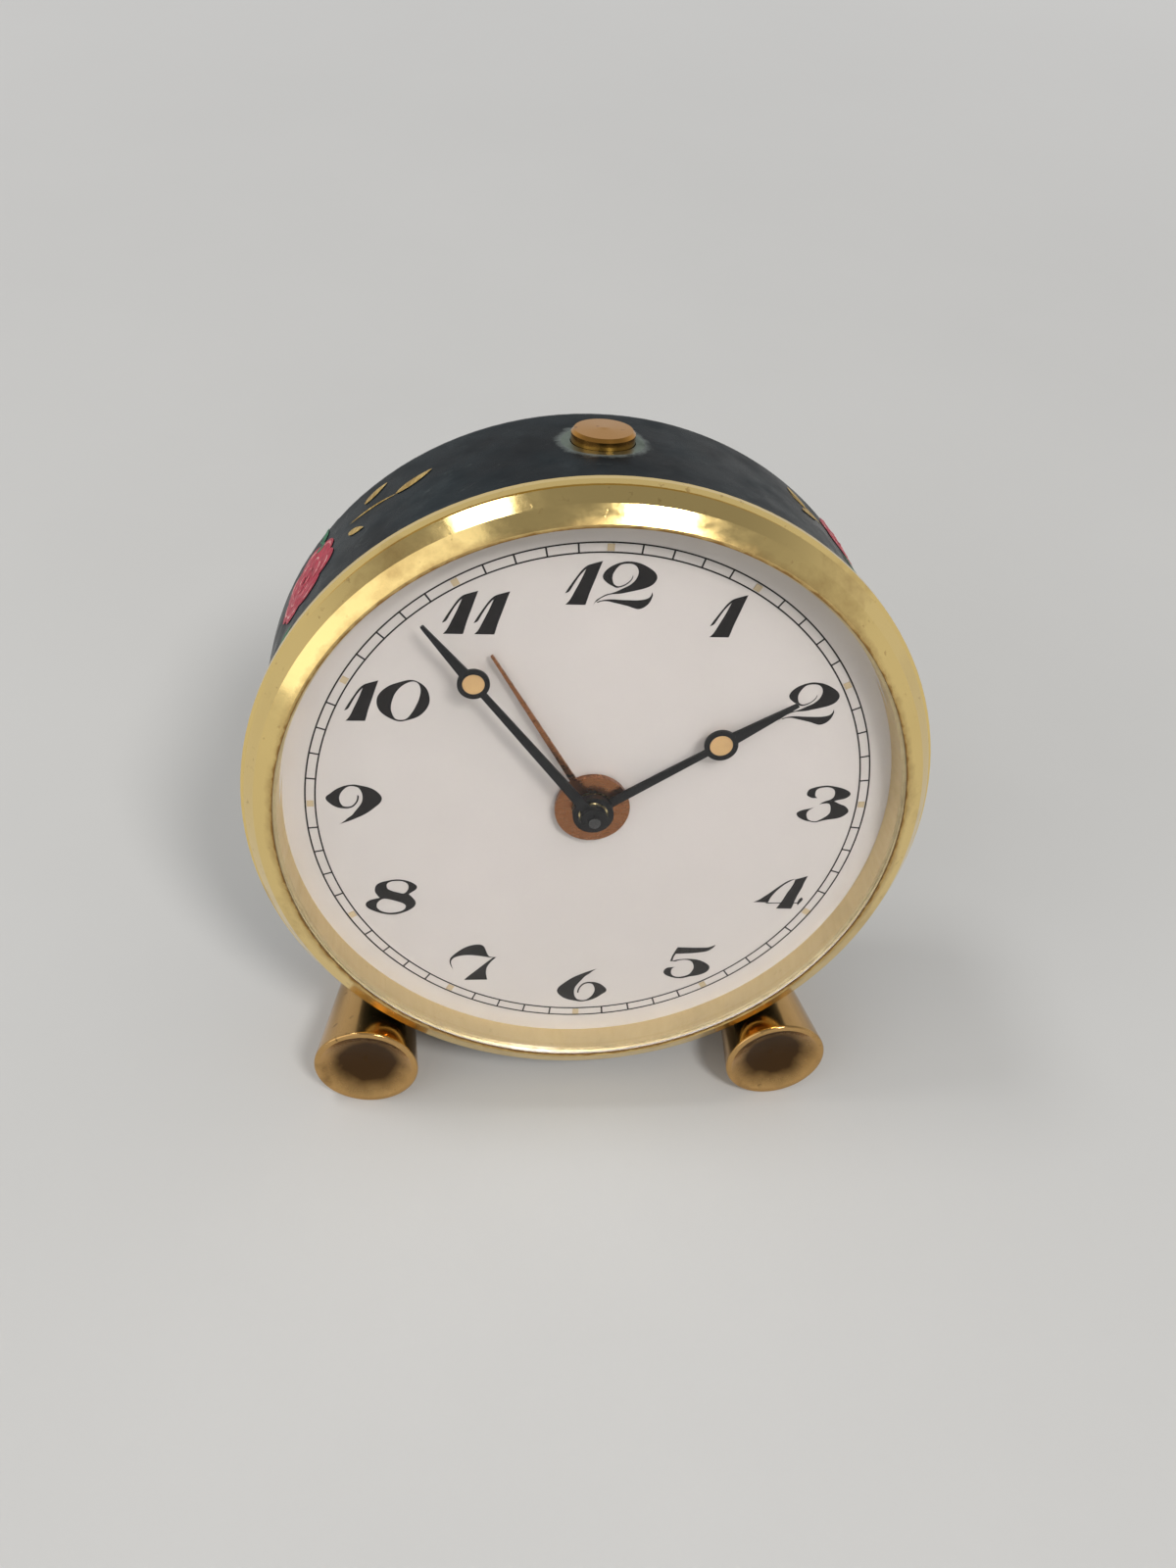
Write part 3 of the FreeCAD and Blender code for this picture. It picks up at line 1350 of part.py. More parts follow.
def make_all():
    return {
        "case_band": make_case_band(),
        "bezel": make_bezel(),
        "crystal": make_crystal(),
        "dial_ring": make_dial_ring(),
        "dial": make_dial(),
        "hour_marks": make_hour_marks(),
        "minute_hand": make_minute_hand(),
        "minute_lume": make_minute_lume(),
        "hour_hand": make_hour_hand(),
        "hour_lume": make_hour_lume(),
        "alarm_hand": make_alarm_hand(),
        "foot_left": make_foot(-1),
        "foot_right": make_foot(1),
        "foot_collars": make_foot_collars(),
        "foot_screws": make_foot_screws(),
        "button_bush": make_button_bush(),
        "stop_button": make_stop_button(),
        "stop_lever": make_stop_lever(),
        "movement_ring": make_movement_ring(),
        "front_plate": make_front_plate(),
        "rear_plate": make_rear_plate(),
        "plate_pillars": make_plate_pillars(),
        "plate_screws": make_plate_screws(),
        "centre_arbor": make_centre_arbor(),
        "cannon_pinion": make_cannon_pinion(),
        "set_knob": make_set_knob(),
        "hour_wheel": make_hour_wheel(),
        "minute_wheel": make_minute_wheel(),
        "alarm_wheel": make_alarm_wheel(),
        "alarm_set_arbor": make_alarm_arbor(),
        "alarm_knob": make_alarm_knob(),
        "time_barrel": make_barrel(barrel_at, barrel_module, barrel_teeth, barrel_phase,
                                   great_wheel_radius - barrel_drum_inset),
        "intermediate_wheel": make_intermediate_wheel(),
        "centre_wheel": make_centre_wheel(),
        "third_wheel": make_third_wheel(),
        "fourth_wheel": make_fourth_wheel(),
        "escape_wheel": make_escape_wheel(),
        "pallet_fork": make_pallet_fork(),
        "balance_wheel": make_balance(),
        "hairspring": make_hairspring(),
        "time_winding_arbor": make_winding_arbor(barrel_at),
        "time_ratchet": make_ratchet(barrel_at, time_ratchet_radius, time_ratchet_teeth),
        "time_click": make_click(barrel_at),
        "time_key_hub": make_key_hub(barrel_at),
        "time_key_pin": make_key_pin(barrel_at),
        "time_key_bow": make_key_bow(barrel_at),
        "alarm_barrel": make_barrel(alarm_barrel_at, alarm_barrel_module, alarm_barrel_teeth,
                                    alarm_barrel_phase, alarm_drum_radius),
        "alarm_escape_wheel": make_alarm_escape_wheel(),
        "hammer": make_hammer(),
        "gong_post": make_gong_post(),
        "alarm_winding_arbor": make_winding_arbor(alarm_barrel_at),
        "alarm_ratchet": make_ratchet(alarm_barrel_at, alarm_ratchet_radius, alarm_ratchet_teeth),
        "alarm_click": make_click(alarm_barrel_at),
        "alarm_key_hub": make_key_hub(alarm_barrel_at),
        "alarm_key_pin": make_key_pin(alarm_barrel_at),
        "alarm_key_bow": make_key_bow(alarm_barrel_at),
        "back_cover": make_back_cover(),
        "cover_screws": make_cover_screws(),
        "regulator": make_regulator(),
    }


pieces = make_all()
for name, shape in pieces.items():
    shape.Placement = stance.multiply(shape.Placement)
    shape.exportStep("parts/" + name + ".step")
print(len(pieces), "nodes, lean", round(lean_angle, 2), "lift", round(lift, 3))
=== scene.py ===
"""A small round desk alarm clock lying on two brass cone feet, dressed over its CAD frame."""
import bpy
import json
import math
from mathutils import Matrix, Vector
from mathutils.geometry import tessellate_polygon


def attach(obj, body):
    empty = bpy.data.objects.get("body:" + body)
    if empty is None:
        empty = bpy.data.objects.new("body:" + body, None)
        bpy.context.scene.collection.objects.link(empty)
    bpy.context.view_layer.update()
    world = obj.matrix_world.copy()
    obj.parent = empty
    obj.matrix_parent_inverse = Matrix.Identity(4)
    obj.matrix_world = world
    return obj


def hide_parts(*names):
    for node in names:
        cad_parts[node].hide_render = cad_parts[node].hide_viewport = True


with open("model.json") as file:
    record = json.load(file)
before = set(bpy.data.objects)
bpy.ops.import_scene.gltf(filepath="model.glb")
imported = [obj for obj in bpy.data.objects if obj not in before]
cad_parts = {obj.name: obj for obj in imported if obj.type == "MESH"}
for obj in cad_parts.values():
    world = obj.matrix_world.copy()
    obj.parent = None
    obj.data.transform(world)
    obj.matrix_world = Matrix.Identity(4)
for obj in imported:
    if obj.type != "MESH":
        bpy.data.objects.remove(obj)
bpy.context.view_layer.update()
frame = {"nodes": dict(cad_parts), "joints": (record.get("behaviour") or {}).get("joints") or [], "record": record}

MM = 0.001

# ---------------------------------------------------------------- frame of the case
# The dial centre and the dial's normal come from the minute hand's joint.
JOINTS = {joint["name"]: joint for joint in frame["joints"]}
DIAL_CENTRE = Vector(JOINTS["minute_turn"]["pos_m"])
BACKWARD = Vector(JOINTS["minute_turn"]["axis"]).normalized()
RIGHTWARD = Vector((1.0, 0.0, 0.0))
UPWARD = RIGHTWARD.cross(BACKWARD)
CASE = Matrix.Translation(DIAL_CENTRE) @ Matrix((RIGHTWARD, BACKWARD, UPWARD)).transposed().to_4x4()


def case_point(x, y, z):
    """A place in the case, in mm: x to the right, y backward, z up the dial."""
    return CASE @ (Vector((x, y, z)) * MM)


# ---------------------------------------------------------------- sizes, mm
drum_radius = 31.2
degrees_per_mm = math.degrees(1.0 / drum_radius)
paint_lift = 0.03
coat_thick = 0.03
stroke_crown = 0.05
stem_width = 0.3
dial_face = 0.0
print_lift = 0.02
track_radius = 25.8
track_width = 0.9
track_line = 0.15
tick_width = 0.16
track_inner = track_radius - track_width / 2
track_outer = track_radius + track_width / 2
button_depth = 10.3
worn_radius = 3.5
worn_core_radius = 2.8
worn_ragged = 1.8
foot_face_radius = 5.35
foot_rim_width = 0.6
foot_rim_depth = 2.0
lip_radius = 29.25
lip_grime_width = 0.75
lip_haze_width = 2.6 * lip_grime_width
crystal_radius = 28.92
crystal_inner_radius = 28.22
crystal_rise = 1.9
crystal_front_height = 3.56
crystal_back_height = 2.41

# ---------------------------------------------------------------- colours
LACQUER = (0.005, 0.008, 0.011)
LACQUER_CLOUD = (0.010, 0.021, 0.028)
LACQUER_HAZE = (0.075, 0.09, 0.095)
LACQUER_WORN = (0.19, 0.22, 0.21)
BRASS_PALE = (0.88, 0.66, 0.27)
BRASS_BROWN = (0.27, 0.13, 0.035)
BRASS_DARK = (0.30, 0.18, 0.05)
RING_PALE = (0.74, 0.60, 0.34)
RING_DARK = (0.42, 0.32, 0.15)
KEY_PALE = (0.80, 0.60, 0.28)
MOVEMENT_PALE = (0.80, 0.64, 0.32)
COVER_PALE = (0.78, 0.60, 0.30)
WHITE_METAL = (0.60, 0.60, 0.59)
WHITE_METAL_DARK = (0.35, 0.34, 0.32)
BUTTON_PALE = (0.54, 0.265, 0.06)
BUTTON_DARK = (0.17, 0.06, 0.02)
BUSH_PATINA = (0.20, 0.25, 0.21)
BUSH_DARK = (0.05, 0.06, 0.045)
COPPERY = (0.33, 0.135, 0.055)
COPPERY_DARK = (0.06, 0.025, 0.012)
FOOT_PALE = (0.56, 0.34, 0.13)
FOOT_DARK = (0.055, 0.028, 0.012)
CLEAR = (1.0, 1.0, 1.0)
CLEAR_TINGED = (0.985, 0.99, 0.985)
CRYSTAL_SHINE = (0.35, 0.35, 0.35)
DIAL_WHITE = (0.61, 0.57, 0.545)
INK = (0.008, 0.006, 0.006)
LUME = (0.66, 0.42, 0.19)
MARK_LUME = (0.58, 0.46, 0.29)
HAND_BLACK = (0.006, 0.006, 0.007)
FLOOR_PALE = (0.74, 0.74, 0.73)
FLOOR_DARKER = (0.70, 0.70, 0.69)
BACKDROP = (1.0, 0.995, 0.98)


# ---------------------------------------------------------------- node helpers
# A Mix node has its sockets for every kind of value; these are the places of the colour ones.
MIX_COLOUR_A = 6
MIX_COLOUR_B = 7
MIX_COLOUR_RESULT = 2


class Look:
    """A material's node tree with short ways to add and join nodes."""

    def __init__(self, name):
        self.material = bpy.data.materials.new(name)
        self.material.use_nodes = True
        self.tree = self.material.node_tree
        self.shader = self.tree.nodes["Principled BSDF"]

    def add(self, kind, **values):
        node = self.tree.nodes.new(kind)
        for name, value in values.items():
            setattr(node, name, value)
        return node

    def join(self, source, target):
        self.tree.links.new(source, target)

    def feed(self, value, socket):
        """Sets a colour or a number on the socket, or joins another node's output to it."""
        if isinstance(value, tuple):
            socket.default_value = (*value, 1.0)
        elif isinstance(value, float):
            socket.default_value = value
        else:
            self.join(value, socket)

    def place(self):
        return self.add("ShaderNodeTexCoord").outputs["Object"]

    def stretched(self, factors, turn=(0.0, 0.0, 0.0)):
        node = self.add("ShaderNodeMapping")
        node.inputs["Scale"].default_value = factors
        node.inputs["Rotation"].default_value = turn
        self.join(self.place(), node.inputs["Vector"])
        return node.outputs["Vector"]

    def noise(self, scale, detail=4.0, roughness=0.55, place=None):
        """Noise with the given number of cells per metre."""
        node = self.add("ShaderNodeTexNoise")
        node.inputs["Scale"].default_value = scale
        node.inputs["Detail"].default_value = detail
        node.inputs["Roughness"].default_value = roughness
        self.join(place or self.place(), node.inputs["Vector"])
        return node.outputs["Fac"]

    def distance(self, middle):
        """Metres from a place in the scene."""
        offset = self.add("ShaderNodeVectorMath", operation="SUBTRACT")
        self.join(self.place(), offset.inputs[0])
        offset.inputs[1].default_value = middle
        length = self.add("ShaderNodeVectorMath", operation="LENGTH")
        self.join(offset.outputs[0], length.inputs[0])
        return length.outputs["Value"]

    def ramp(self, factor, low, high, start=0.0, end=1.0):
        """Runs from start to end as the factor runs from low to high."""
        node = self.add("ShaderNodeMapRange")
        node.inputs["From Min"].default_value = low
        node.inputs["From Max"].default_value = high
        node.inputs["To Min"].default_value = start
        node.inputs["To Max"].default_value = end
        self.join(factor, node.inputs["Value"])
        return node.outputs["Result"]

    def blend(self, factor, first, second):
        node = self.add("ShaderNodeMix", data_type="RGBA")
        self.join(factor, node.inputs["Factor"])
        self.feed(first, node.inputs[MIX_COLOUR_A])
        self.feed(second, node.inputs[MIX_COLOUR_B])
        return node.outputs[MIX_COLOUR_RESULT]

    def maths(self, operation, first, second):
        node = self.add("ShaderNodeMath", operation=operation)
        self.feed(first, node.inputs[0])
        self.feed(second, node.inputs[1])
        return node.outputs[0]

    def bump(self, height, distance):
        """Raises the surface by up to the distance, in metres."""
        node = self.add("ShaderNodeBump")
        node.inputs["Strength"].default_value = 1.0
        node.inputs["Distance"].default_value = distance
        self.join(height, node.inputs["Height"])
        self.join(node.outputs["Normal"], self.shader.inputs["Normal"])

    def colour(self, value):
        self.feed(value, self.shader.inputs["Base Color"])

    def rough(self, value):
        self.feed(value, self.shader.inputs["Roughness"])

    def metal(self):
        self.shader.inputs["Metallic"].default_value = 1.0

    def gloss(self, level):
        self.shader.inputs["Specular IOR Level"].default_value = level


# ---------------------------------------------------------------- materials
# Grime along the bezel's lip: cells per metre of its ragged edge, width in mm, depth of tone.
LIP_GRIME = [(900.0, lip_grime_width, 0.92), (230.0, lip_haze_width, 0.58)]


def brass(name, pale, dark, roughness, tarnish, hollows=(), lip=None):
    """Metal with blotches of tarnish, dark specks, fine scratches and, in the given hollows or inside
    the given lip round the dial, old grime."""
    look = Look(name)
    blotches = look.ramp(look.noise(150.0, detail=6.0, roughness=0.6), 0.56, 0.80, end=tarnish)
    specks = look.ramp(look.noise(1100.0, detail=3.0), 0.66, 0.74, end=0.7 * tarnish)
    stain = look.maths("MAXIMUM", blotches, specks)
    for middle, radius in hollows:
        ragged = look.maths("MULTIPLY", look.noise(400.0), 0.3 * radius)
        reach = look.maths("ADD", look.distance(middle), ragged)
        grime = look.ramp(reach, 1.12 * radius, 0.75 * radius, end=0.96)
        stain = look.maths("MAXIMUM", stain, grime)
    if lip:
        for cells, width, depth in LIP_GRIME:
            ragged = look.maths("MULTIPLY", look.noise(cells, detail=6.0, roughness=0.7), width * MM)
            reach = look.maths("ADD", look.distance(DIAL_CENTRE), ragged)
            grime = look.ramp(reach, (lip + 0.85 * width) * MM, (lip + 0.45 * width) * MM, end=depth)
            stain = look.maths("MAXIMUM", stain, grime)
    look.colour(look.blend(stain, pale, dark))
    drawn = look.stretched((1.0, 0.2, 2.5), turn=(0.4, 0.2, 0.5))
    scratches = look.noise(500.0, detail=8.0, roughness=0.75, place=drawn)
    haze = look.ramp(scratches, 0.35, 0.7, 0.7 * roughness, 1.4 * roughness)
    look.rough(look.maths("ADD", haze, look.maths("MULTIPLY", stain, 0.25)))
    tooth = look.noise(3000.0, detail=3.0, roughness=0.6)
    look.bump(look.maths("SUBTRACT", tooth, look.maths("MULTIPLY", specks, 3.0)), 0.000002)
    look.metal()
    return look.material


def lacquer():
    """Dark blue-black lacquer, scuffed, with a pale worn ring where the button's bush comes through."""
    look = Look("lacquer")
    cloud = look.noise(95.0, detail=6.0, roughness=0.6)
    base = look.blend(look.ramp(cloud, 0.35, 0.7), LACQUER, LACQUER_CLOUD)
    rubbed = look.stretched((0.35, 1.0, 1.6), turn=(0.3, 0.1, 0.6))
    scuffs = look.ramp(look.noise(420.0, detail=8.0, roughness=0.72, place=rubbed), 0.59, 0.80, end=0.42)
    patches = look.ramp(look.noise(210.0, detail=8.0, roughness=0.7), 0.54, 0.76)
    haze = look.maths("MULTIPLY", patches, look.ramp(cloud, 0.40, 0.62))
    button = case_point(0.0, button_depth, drum_radius)
    ragged = look.maths("MULTIPLY", look.noise(900.0, detail=6.0, roughness=0.7), -worn_ragged * MM)
    reach = look.maths("ADD", look.distance(button), ragged)
    worn = look.maths("MAXIMUM", scuffs, look.ramp(reach, worn_radius * MM, worn_core_radius * MM, end=0.8))
    hazed = look.blend(look.maths("MULTIPLY", haze, 0.45), base, LACQUER_HAZE)
    look.colour(look.blend(worn, hazed, LACQUER_WORN))
    look.rough(look.ramp(look.noise(300.0, detail=5.0), 0.3, 0.75, 0.20, 0.40))
    look.bump(look.noise(700.0, detail=5.0), 0.00001)
    look.gloss(0.04)
    return look.material


def enamel(name, colour, spread, roughness, gloss=0.3):
    """Flat paint with a faint cloud of tone and a fine tooth."""
    look = Look(name)
    darker = tuple(channel * (1.0 - spread) for channel in colour)
    look.colour(look.blend(look.ramp(look.noise(180.0, detail=6.0), 0.3, 0.7), darker, colour))
    grain = look.noise(900.0, detail=3.0)
    look.rough(look.ramp(grain, 0.3, 0.7, 0.85 * roughness, 1.15 * roughness))
    look.bump(look.noise(2600.0, detail=3.0), 0.000006)
    look.gloss(gloss)
    return look.material


def clear_crystal():
    """Clear domed crystal with a trace of fine wear."""
    look = Look("clear_crystal")
    look.colour(look.blend(look.ramp(look.noise(60.0), 0.3, 0.7), CLEAR_TINGED, CLEAR))
    wear = look.noise(800.0, detail=6.0, roughness=0.7)
    look.rough(look.ramp(wear, 0.62, 0.8, end=0.06))
    look.shader.inputs["Transmission Weight"].default_value = 1.0
    look.shader.inputs["IOR"].default_value = 1.49
    look.feed(CRYSTAL_SHINE, look.shader.inputs["Specular Tint"])
    return look.material


def petal_paint(name, deep, light):
    """Brushed artist's paint, deeper at the base of each stroke."""
    look = Look(name)
    brushed = look.stretched((1.0, 0.5, 2.0), turn=(0.5, 0.4, 0.2))
    hairs = look.noise(1300.0, detail=5.0, roughness=0.65, place=brushed)
    look.colour(look.blend(look.ramp(hairs, 0.38, 0.66), deep, light))
    look.rough(look.ramp(look.noise(900.0), 0.3, 0.7, 0.32, 0.5))
    look.bump(hairs, 0.00003)
    look.gloss(0.15)
    return look.material


def steel(name, tone):
    """Polished steel, drawn along its length; the tone runs from blackened to bright."""
    look = Look(name)
    bluish = (0.80 * tone, 0.81 * tone, 0.83 * tone)
    look.colour(look.blend(look.ramp(look.noise(300.0), 0.3, 0.7), bluish, (tone, tone, tone)))
    drawn = look.noise(1200.0, roughness=0.6, place=look.stretched((1.0, 1.0, 0.1)))
    look.rough(look.ramp(drawn, 0.3, 0.7, 0.2, 0.36))
    look.metal()
    return look.material


def front_middle(node):
    """The middle of a foot's front face, from the foremost points of its CAD mesh."""
    part = frame["nodes"][node]
    places = [CASE.inverted() @ (part.matrix_world @ vertex.co) for vertex in part.data.vertices]
    front = min(place.y for place in places)
    rim = [place for place in places if place.y < front + foot_rim_depth * MM]
    return CASE @ (sum(rim, Vector()) / len(rim))


dish_radius = (foot_face_radius - foot_rim_width) * MM
FOOT_DISHES = [(front_middle(node), dish_radius) for node in ("foot_left", "foot_right")]
# The finishes by the record's material slots; the numbers after brass's colours are roughness and tarnish.
LOOKS = {
    "case_lacquer": lacquer(),
    "bezel_brass": brass("bezel_brass", BRASS_PALE, BRASS_BROWN, 0.13, 0.6, lip=lip_radius),
    "ring_brass": brass("ring_brass", RING_PALE, RING_DARK, 0.50, 0.25),
    "crystal": clear_crystal(),
    "dial": enamel("dial_white", DIAL_WHITE, 0.03, 0.62),
    "lume": enamel("aged_lume", LUME, 0.25, 0.8),
    "hand_black": enamel("hand_black", HAND_BLACK, 0.3, 0.45, gloss=0.2),
    "copper": brass("copper_disc", COPPERY, COPPERY_DARK, 0.28, 0.9),
    "foot_brass": brass("foot_brass", FOOT_PALE, FOOT_DARK, 0.17, 0.9, hollows=FOOT_DISHES),
    "key_brass": brass("key_brass", KEY_PALE, BRASS_DARK, 0.18, 0.5),
    "movement_brass": brass("movement_brass", MOVEMENT_PALE, BRASS_DARK, 0.26, 0.35),
    "cover_brass": brass("cover_brass", COVER_PALE, BRASS_DARK, 0.26, 0.6),
    "ring_metal": brass("ring_metal", WHITE_METAL, WHITE_METAL_DARK, 0.3, 0.4),
    "steel": steel("steel", 0.63),
}
# The nodes that have worn differently from their slot.
NODE_LOOKS = {
    "stop_button": brass("button_brass", BUTTON_PALE, BUTTON_DARK, 0.13, 0.75),
    "button_bush": brass("bush_brass", BUSH_PATINA, BUSH_DARK, 0.4, 0.9),
    "centre_arbor": steel("blackened_steel", 0.10),
    "hour_marks": enamel("mark_lume", MARK_LUME, 0.2, 0.8),
}
PRINT = enamel("dial_ink", INK, 0.3, 0.6, gloss=0.2)
ROSE_DEEP = petal_paint("rose_deep_paint", (0.16, 0.003, 0.012), (0.32, 0.010, 0.030))
ROSE_RED = petal_paint("rose_red_paint", (0.36, 0.010, 0.035), (0.60, 0.035, 0.080))
ROSE_PINK = petal_paint("rose_pink_paint", (0.60, 0.08, 0.12), (0.86, 0.52, 0.48))
GOLD_LEAVES = petal_paint("gold_leaf_paint", (0.36, 0.22, 0.05), (0.66, 0.47, 0.16))
GREEN_LEAVES = petal_paint("green_leaf_paint", (0.012, 0.10, 0.05), (0.04, 0.25, 0.11))


def dress_nodes():
    """Gives every CAD node the finish that the record names for it, or its own worn one."""
    for entry in frame["record"]["subparts"]:
        part = frame["nodes"][entry["node"]]
        part.data.materials.clear()
        part.data.materials.append(NODE_LOOKS.get(entry["node"], LOOKS[entry["material_slot"]]))


# ---------------------------------------------------------------- pieces in mesh code
def piece(name, points, faces, material, smooth=True):
    """A mesh from places in mm in the case's frame, which rides on the case."""
    mesh = bpy.data.meshes.new(name)
    mesh.from_pydata([case_point(*point) for point in points], [], faces)
    mesh.materials.append(material)
    mesh.polygons.foreach_set("use_smooth", [smooth] * len(mesh.polygons))
    made = bpy.data.objects.new(name, mesh)
    bpy.context.scene.collection.objects.link(made)
    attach(made, "case")
    return made


def dial_place(radius, angle):
    """A place just off the dial's face: angle in degrees, clockwise from twelve."""
    turn = math.radians(angle)
    return (radius * math.sin(turn), dial_face - print_lift, radius * math.cos(turn))


def dial_track():
    """Two thin circles with a tick each minute, left open at the luminous marks."""
    circle_steps = 360
    minutes = 60
    minutes_to_a_mark = 5
    minute_angle = 360 // minutes
    points = []
    faces = []

    def patch(inner, outer, start, end, count):
        first = len(points)
        for step in range(count + 1):
            angle = start + (end - start) * step / count
            points.append(dial_place(inner, angle))
            points.append(dial_place(outer, angle))
        for step in range(count):
            corner = first + 2 * step
            faces.append((corner, corner + 1, corner + 3, corner + 2))

    for middle in (track_inner, track_outer):
        patch(middle - track_line / 2, middle + track_line / 2, 0.0, 360.0, circle_steps)
    half_tick = math.degrees(tick_width / 2 / track_radius)
    for minute in range(minutes):
        if minute % minutes_to_a_mark:
            angle = minute * minute_angle
            patch(track_inner, track_outer, angle - half_tick, angle + half_tick, 1)
    piece("dial_track", points, faces, PRINT, smooth=False)


# Outlines of the digits in mm from each digit's lower left; a third value of 1 marks a corner.
ONE = [[(0, 0, 1), (1.72, 0, 1), (1.87, .54), (2.04, 1.21), (2.42, 2.4), (2.72, 3.38), (2.96, 4.1, 1), (2.2, 3.86),
        (1.68, 3.66), (1.25, 3.25), (.85, 2.65), (.36, 1.85), (-.08, 1.05, 1), (.28, 1.25), (.62, 1.88), (1.02, 2.6),
        (1.42, 3.15), (1.58, 3.32, 1), (1.2, 2.3), (.79, 1.38), (.37, .46)]]
TWO = [[(.65, 3.04), (.8, 3.44), (1.17, 3.84), (1.67, 4.14), (2.14, 4.32), (2.67, 4.42), (3.34, 4.37), (4, 4.17),
        (4.67, 3.8), (5.1, 3.44), (5.3, 3), (5.17, 2.57), (4.87, 2.24), (4.34, 1.97), (3.67, 1.77), (3, 1.6),
        (2.34, 1.44), (1.67, 1.37), (1.2, 1.27), (.67, 1), (.4, .77), (.14, .54), (0, .24, 1), (.2, .75), (.67, 1.12),
        (1.07, 1.35), (1.54, 1.48), (2, 1.68), (2.54, 1.98), (3, 2.24), (3.4, 2.64), (3.6, 3.04), (3.67, 3.44),
        (3.57, 3.8), (3.34, 4.07), (3, 4.2), (2.54, 4.2), (2.14, 4.1), (1.87, 3.87), (1.67, 3.57), (1.52, 3.24),
        (1.48, 2.9), (1.54, 2.57), (1.67, 2.3), (2, 2.12), (2.34, 2.2), (2.67, 2.37), (2.97, 2.64), (3.14, 2.9),
        (3.19, 3.14, 1), (3.24, 3.04), (3.17, 2.77), (2.97, 2.5), (2.67, 2.24), (2.27, 2.04), (1.87, 1.97),
        (1.6, 2.1), (1.27, 2.27), (1, 2.47), (.74, 2.74)],
       [(.27, .6, 1), (.67, .77), (1.2, .87), (1.67, .89), (2.34, .85), (3, .84), (3.67, .84), (4.2, .89), (4.67, 1.04),
        (4.9, 1.3), (4.97, 1.64, 1), (5.06, 1.37), (5, 1.04), (4.84, .64), (4.6, .34), (4.27, .1), (3.87, 0),
        (3.47, .1), (3, .27), (2.34, .44), (1.67, .6), (1.2, .7), (.67, .67), (.4, .54)]]
THREE = [[(.67, 3.37), (.83, 3.77), (1.3, 4), (1.77, 4.13), (2.5, 4.23), (3.3, 4.11), (3.97, 3.93), (4.5, 3.7),
          (4.87, 3.37), (4.8, 3.03), (4.37, 2.73), (3.83, 2.6), (3.43, 2.45, 1), (4.1, 2.1), (4.57, 1.9), (4.9, 1.57),
          (5, 1.23), (4.77, .9), (4.37, .6), (3.83, .43), (3.3, .35), (2.63, .2), (1.97, 0), (1.37, .1), (.9, .23),
          (.37, .5), (.07, .8), (0, 1.07), (.23, 1.3), (.63, 1.47), (1.17, 1.6), (1.63, 1.77, 1), (1.3, 1.53),
          (1.07, 1.3), (.97, 1.03), (1.03, .7), (1.2, .37), (1.57, .17), (1.97, .13), (2.3, .27), (2.63, .5),
          (2.97, .77), (3.2, 1.1), (3.23, 1.43), (3.17, 1.83), (3.03, 2.1), (2.77, 2.2), (2.43, 2.17),
          (2.03, 2.07, 1), (2.3, 2.3), (2.63, 2.47), (3.03, 2.63), (3.3, 2.9), (3.37, 3.23), (3.3, 3.63), (3.03, 3.9),
          (2.63, 4.02), (2.17, 4), (1.77, 3.9), (1.53, 3.67), (1.47, 3.37), (1.53, 3.03), (1.77, 2.8, 1), (1.3, 2.8),
          (.97, 2.93), (.73, 3.1)]]
FOUR = [[(0, .85, 1), (.55, 1.14), (1.02, 1.54), (1.48, 1.94), (1.88, 2.34), (2.22, 2.67), (2.62, 3.04), (3.02, 3.37),
         (3.42, 3.6), (3.9, 3.72, 1), (3.45, 3.45), (2.95, 3.07), (2.55, 2.67), (2.22, 2.27), (1.95, 1.87),
         (1.68, 1.34), (1.52, .8, 1)],
        [(1.3, .78, 1), (4.6, .78, 1), (4.6, .67, 1), (1.3, .67, 1)],
        [(3.85, 3.64, 1), (5.08, 4.07, 1), (4.82, 3.27), (4.68, 2.6), (4.42, 1.87), (4.22, 1.14), (4.08, .4),
         (3.95, 0, 1), (2.42, .04, 1), (2.68, .54), (3.02, 1.27), (3.28, 2), (3.55, 2.54), (3.78, 3.2)],
        [(4.82, 1.44, 1), (4.98, 1.14), (4.75, .74), (4.55, .4, 1), (4.48, .8), (4.62, 1.2)]]
FIVE = [[(1.17, 4.08, 1), (1.88, 4.04), (2.88, 4), (3.72, 4), (4.22, 4.02), (4.63, 4.17), (5.01, 4.38, 1),
         (4.88, 4.08), (4.55, 3.75), (4.13, 3.5), (3.47, 3.38), (2.72, 3.29), (1.88, 3.25), (1.05, 3.22, 1),
         (.86, 2.75), (.8, 2.25, 1), (.55, 2.25, 1), (.72, 3), (.95, 3.6)],
        [(.7, 2.3, 1), (1.47, 2.5), (2.3, 2.56), (2.97, 2.5), (3.63, 2.33), (4.22, 2), (4.59, 1.67), (4.7, 1.33),
         (4.55, .92), (4.13, .58), (3.47, .33), (2.8, .21), (2.05, 0), (1.38, 0), (.8, .17), (.3, .42), (.01, .75),
         (.05, 1.08), (.3, 1.38), (.72, 1.46), (1.17, 1.5, 1), (.88, 1.33), (.78, 1), (.84, .58), (1.13, .29),
         (1.63, .17), (2.22, .29), (2.63, .5), (2.88, .83), (3.05, 1.33), (2.97, 1.83), (2.72, 2.21), (2.3, 2.4),
         (1.63, 2.4), (1.05, 2.21)]]
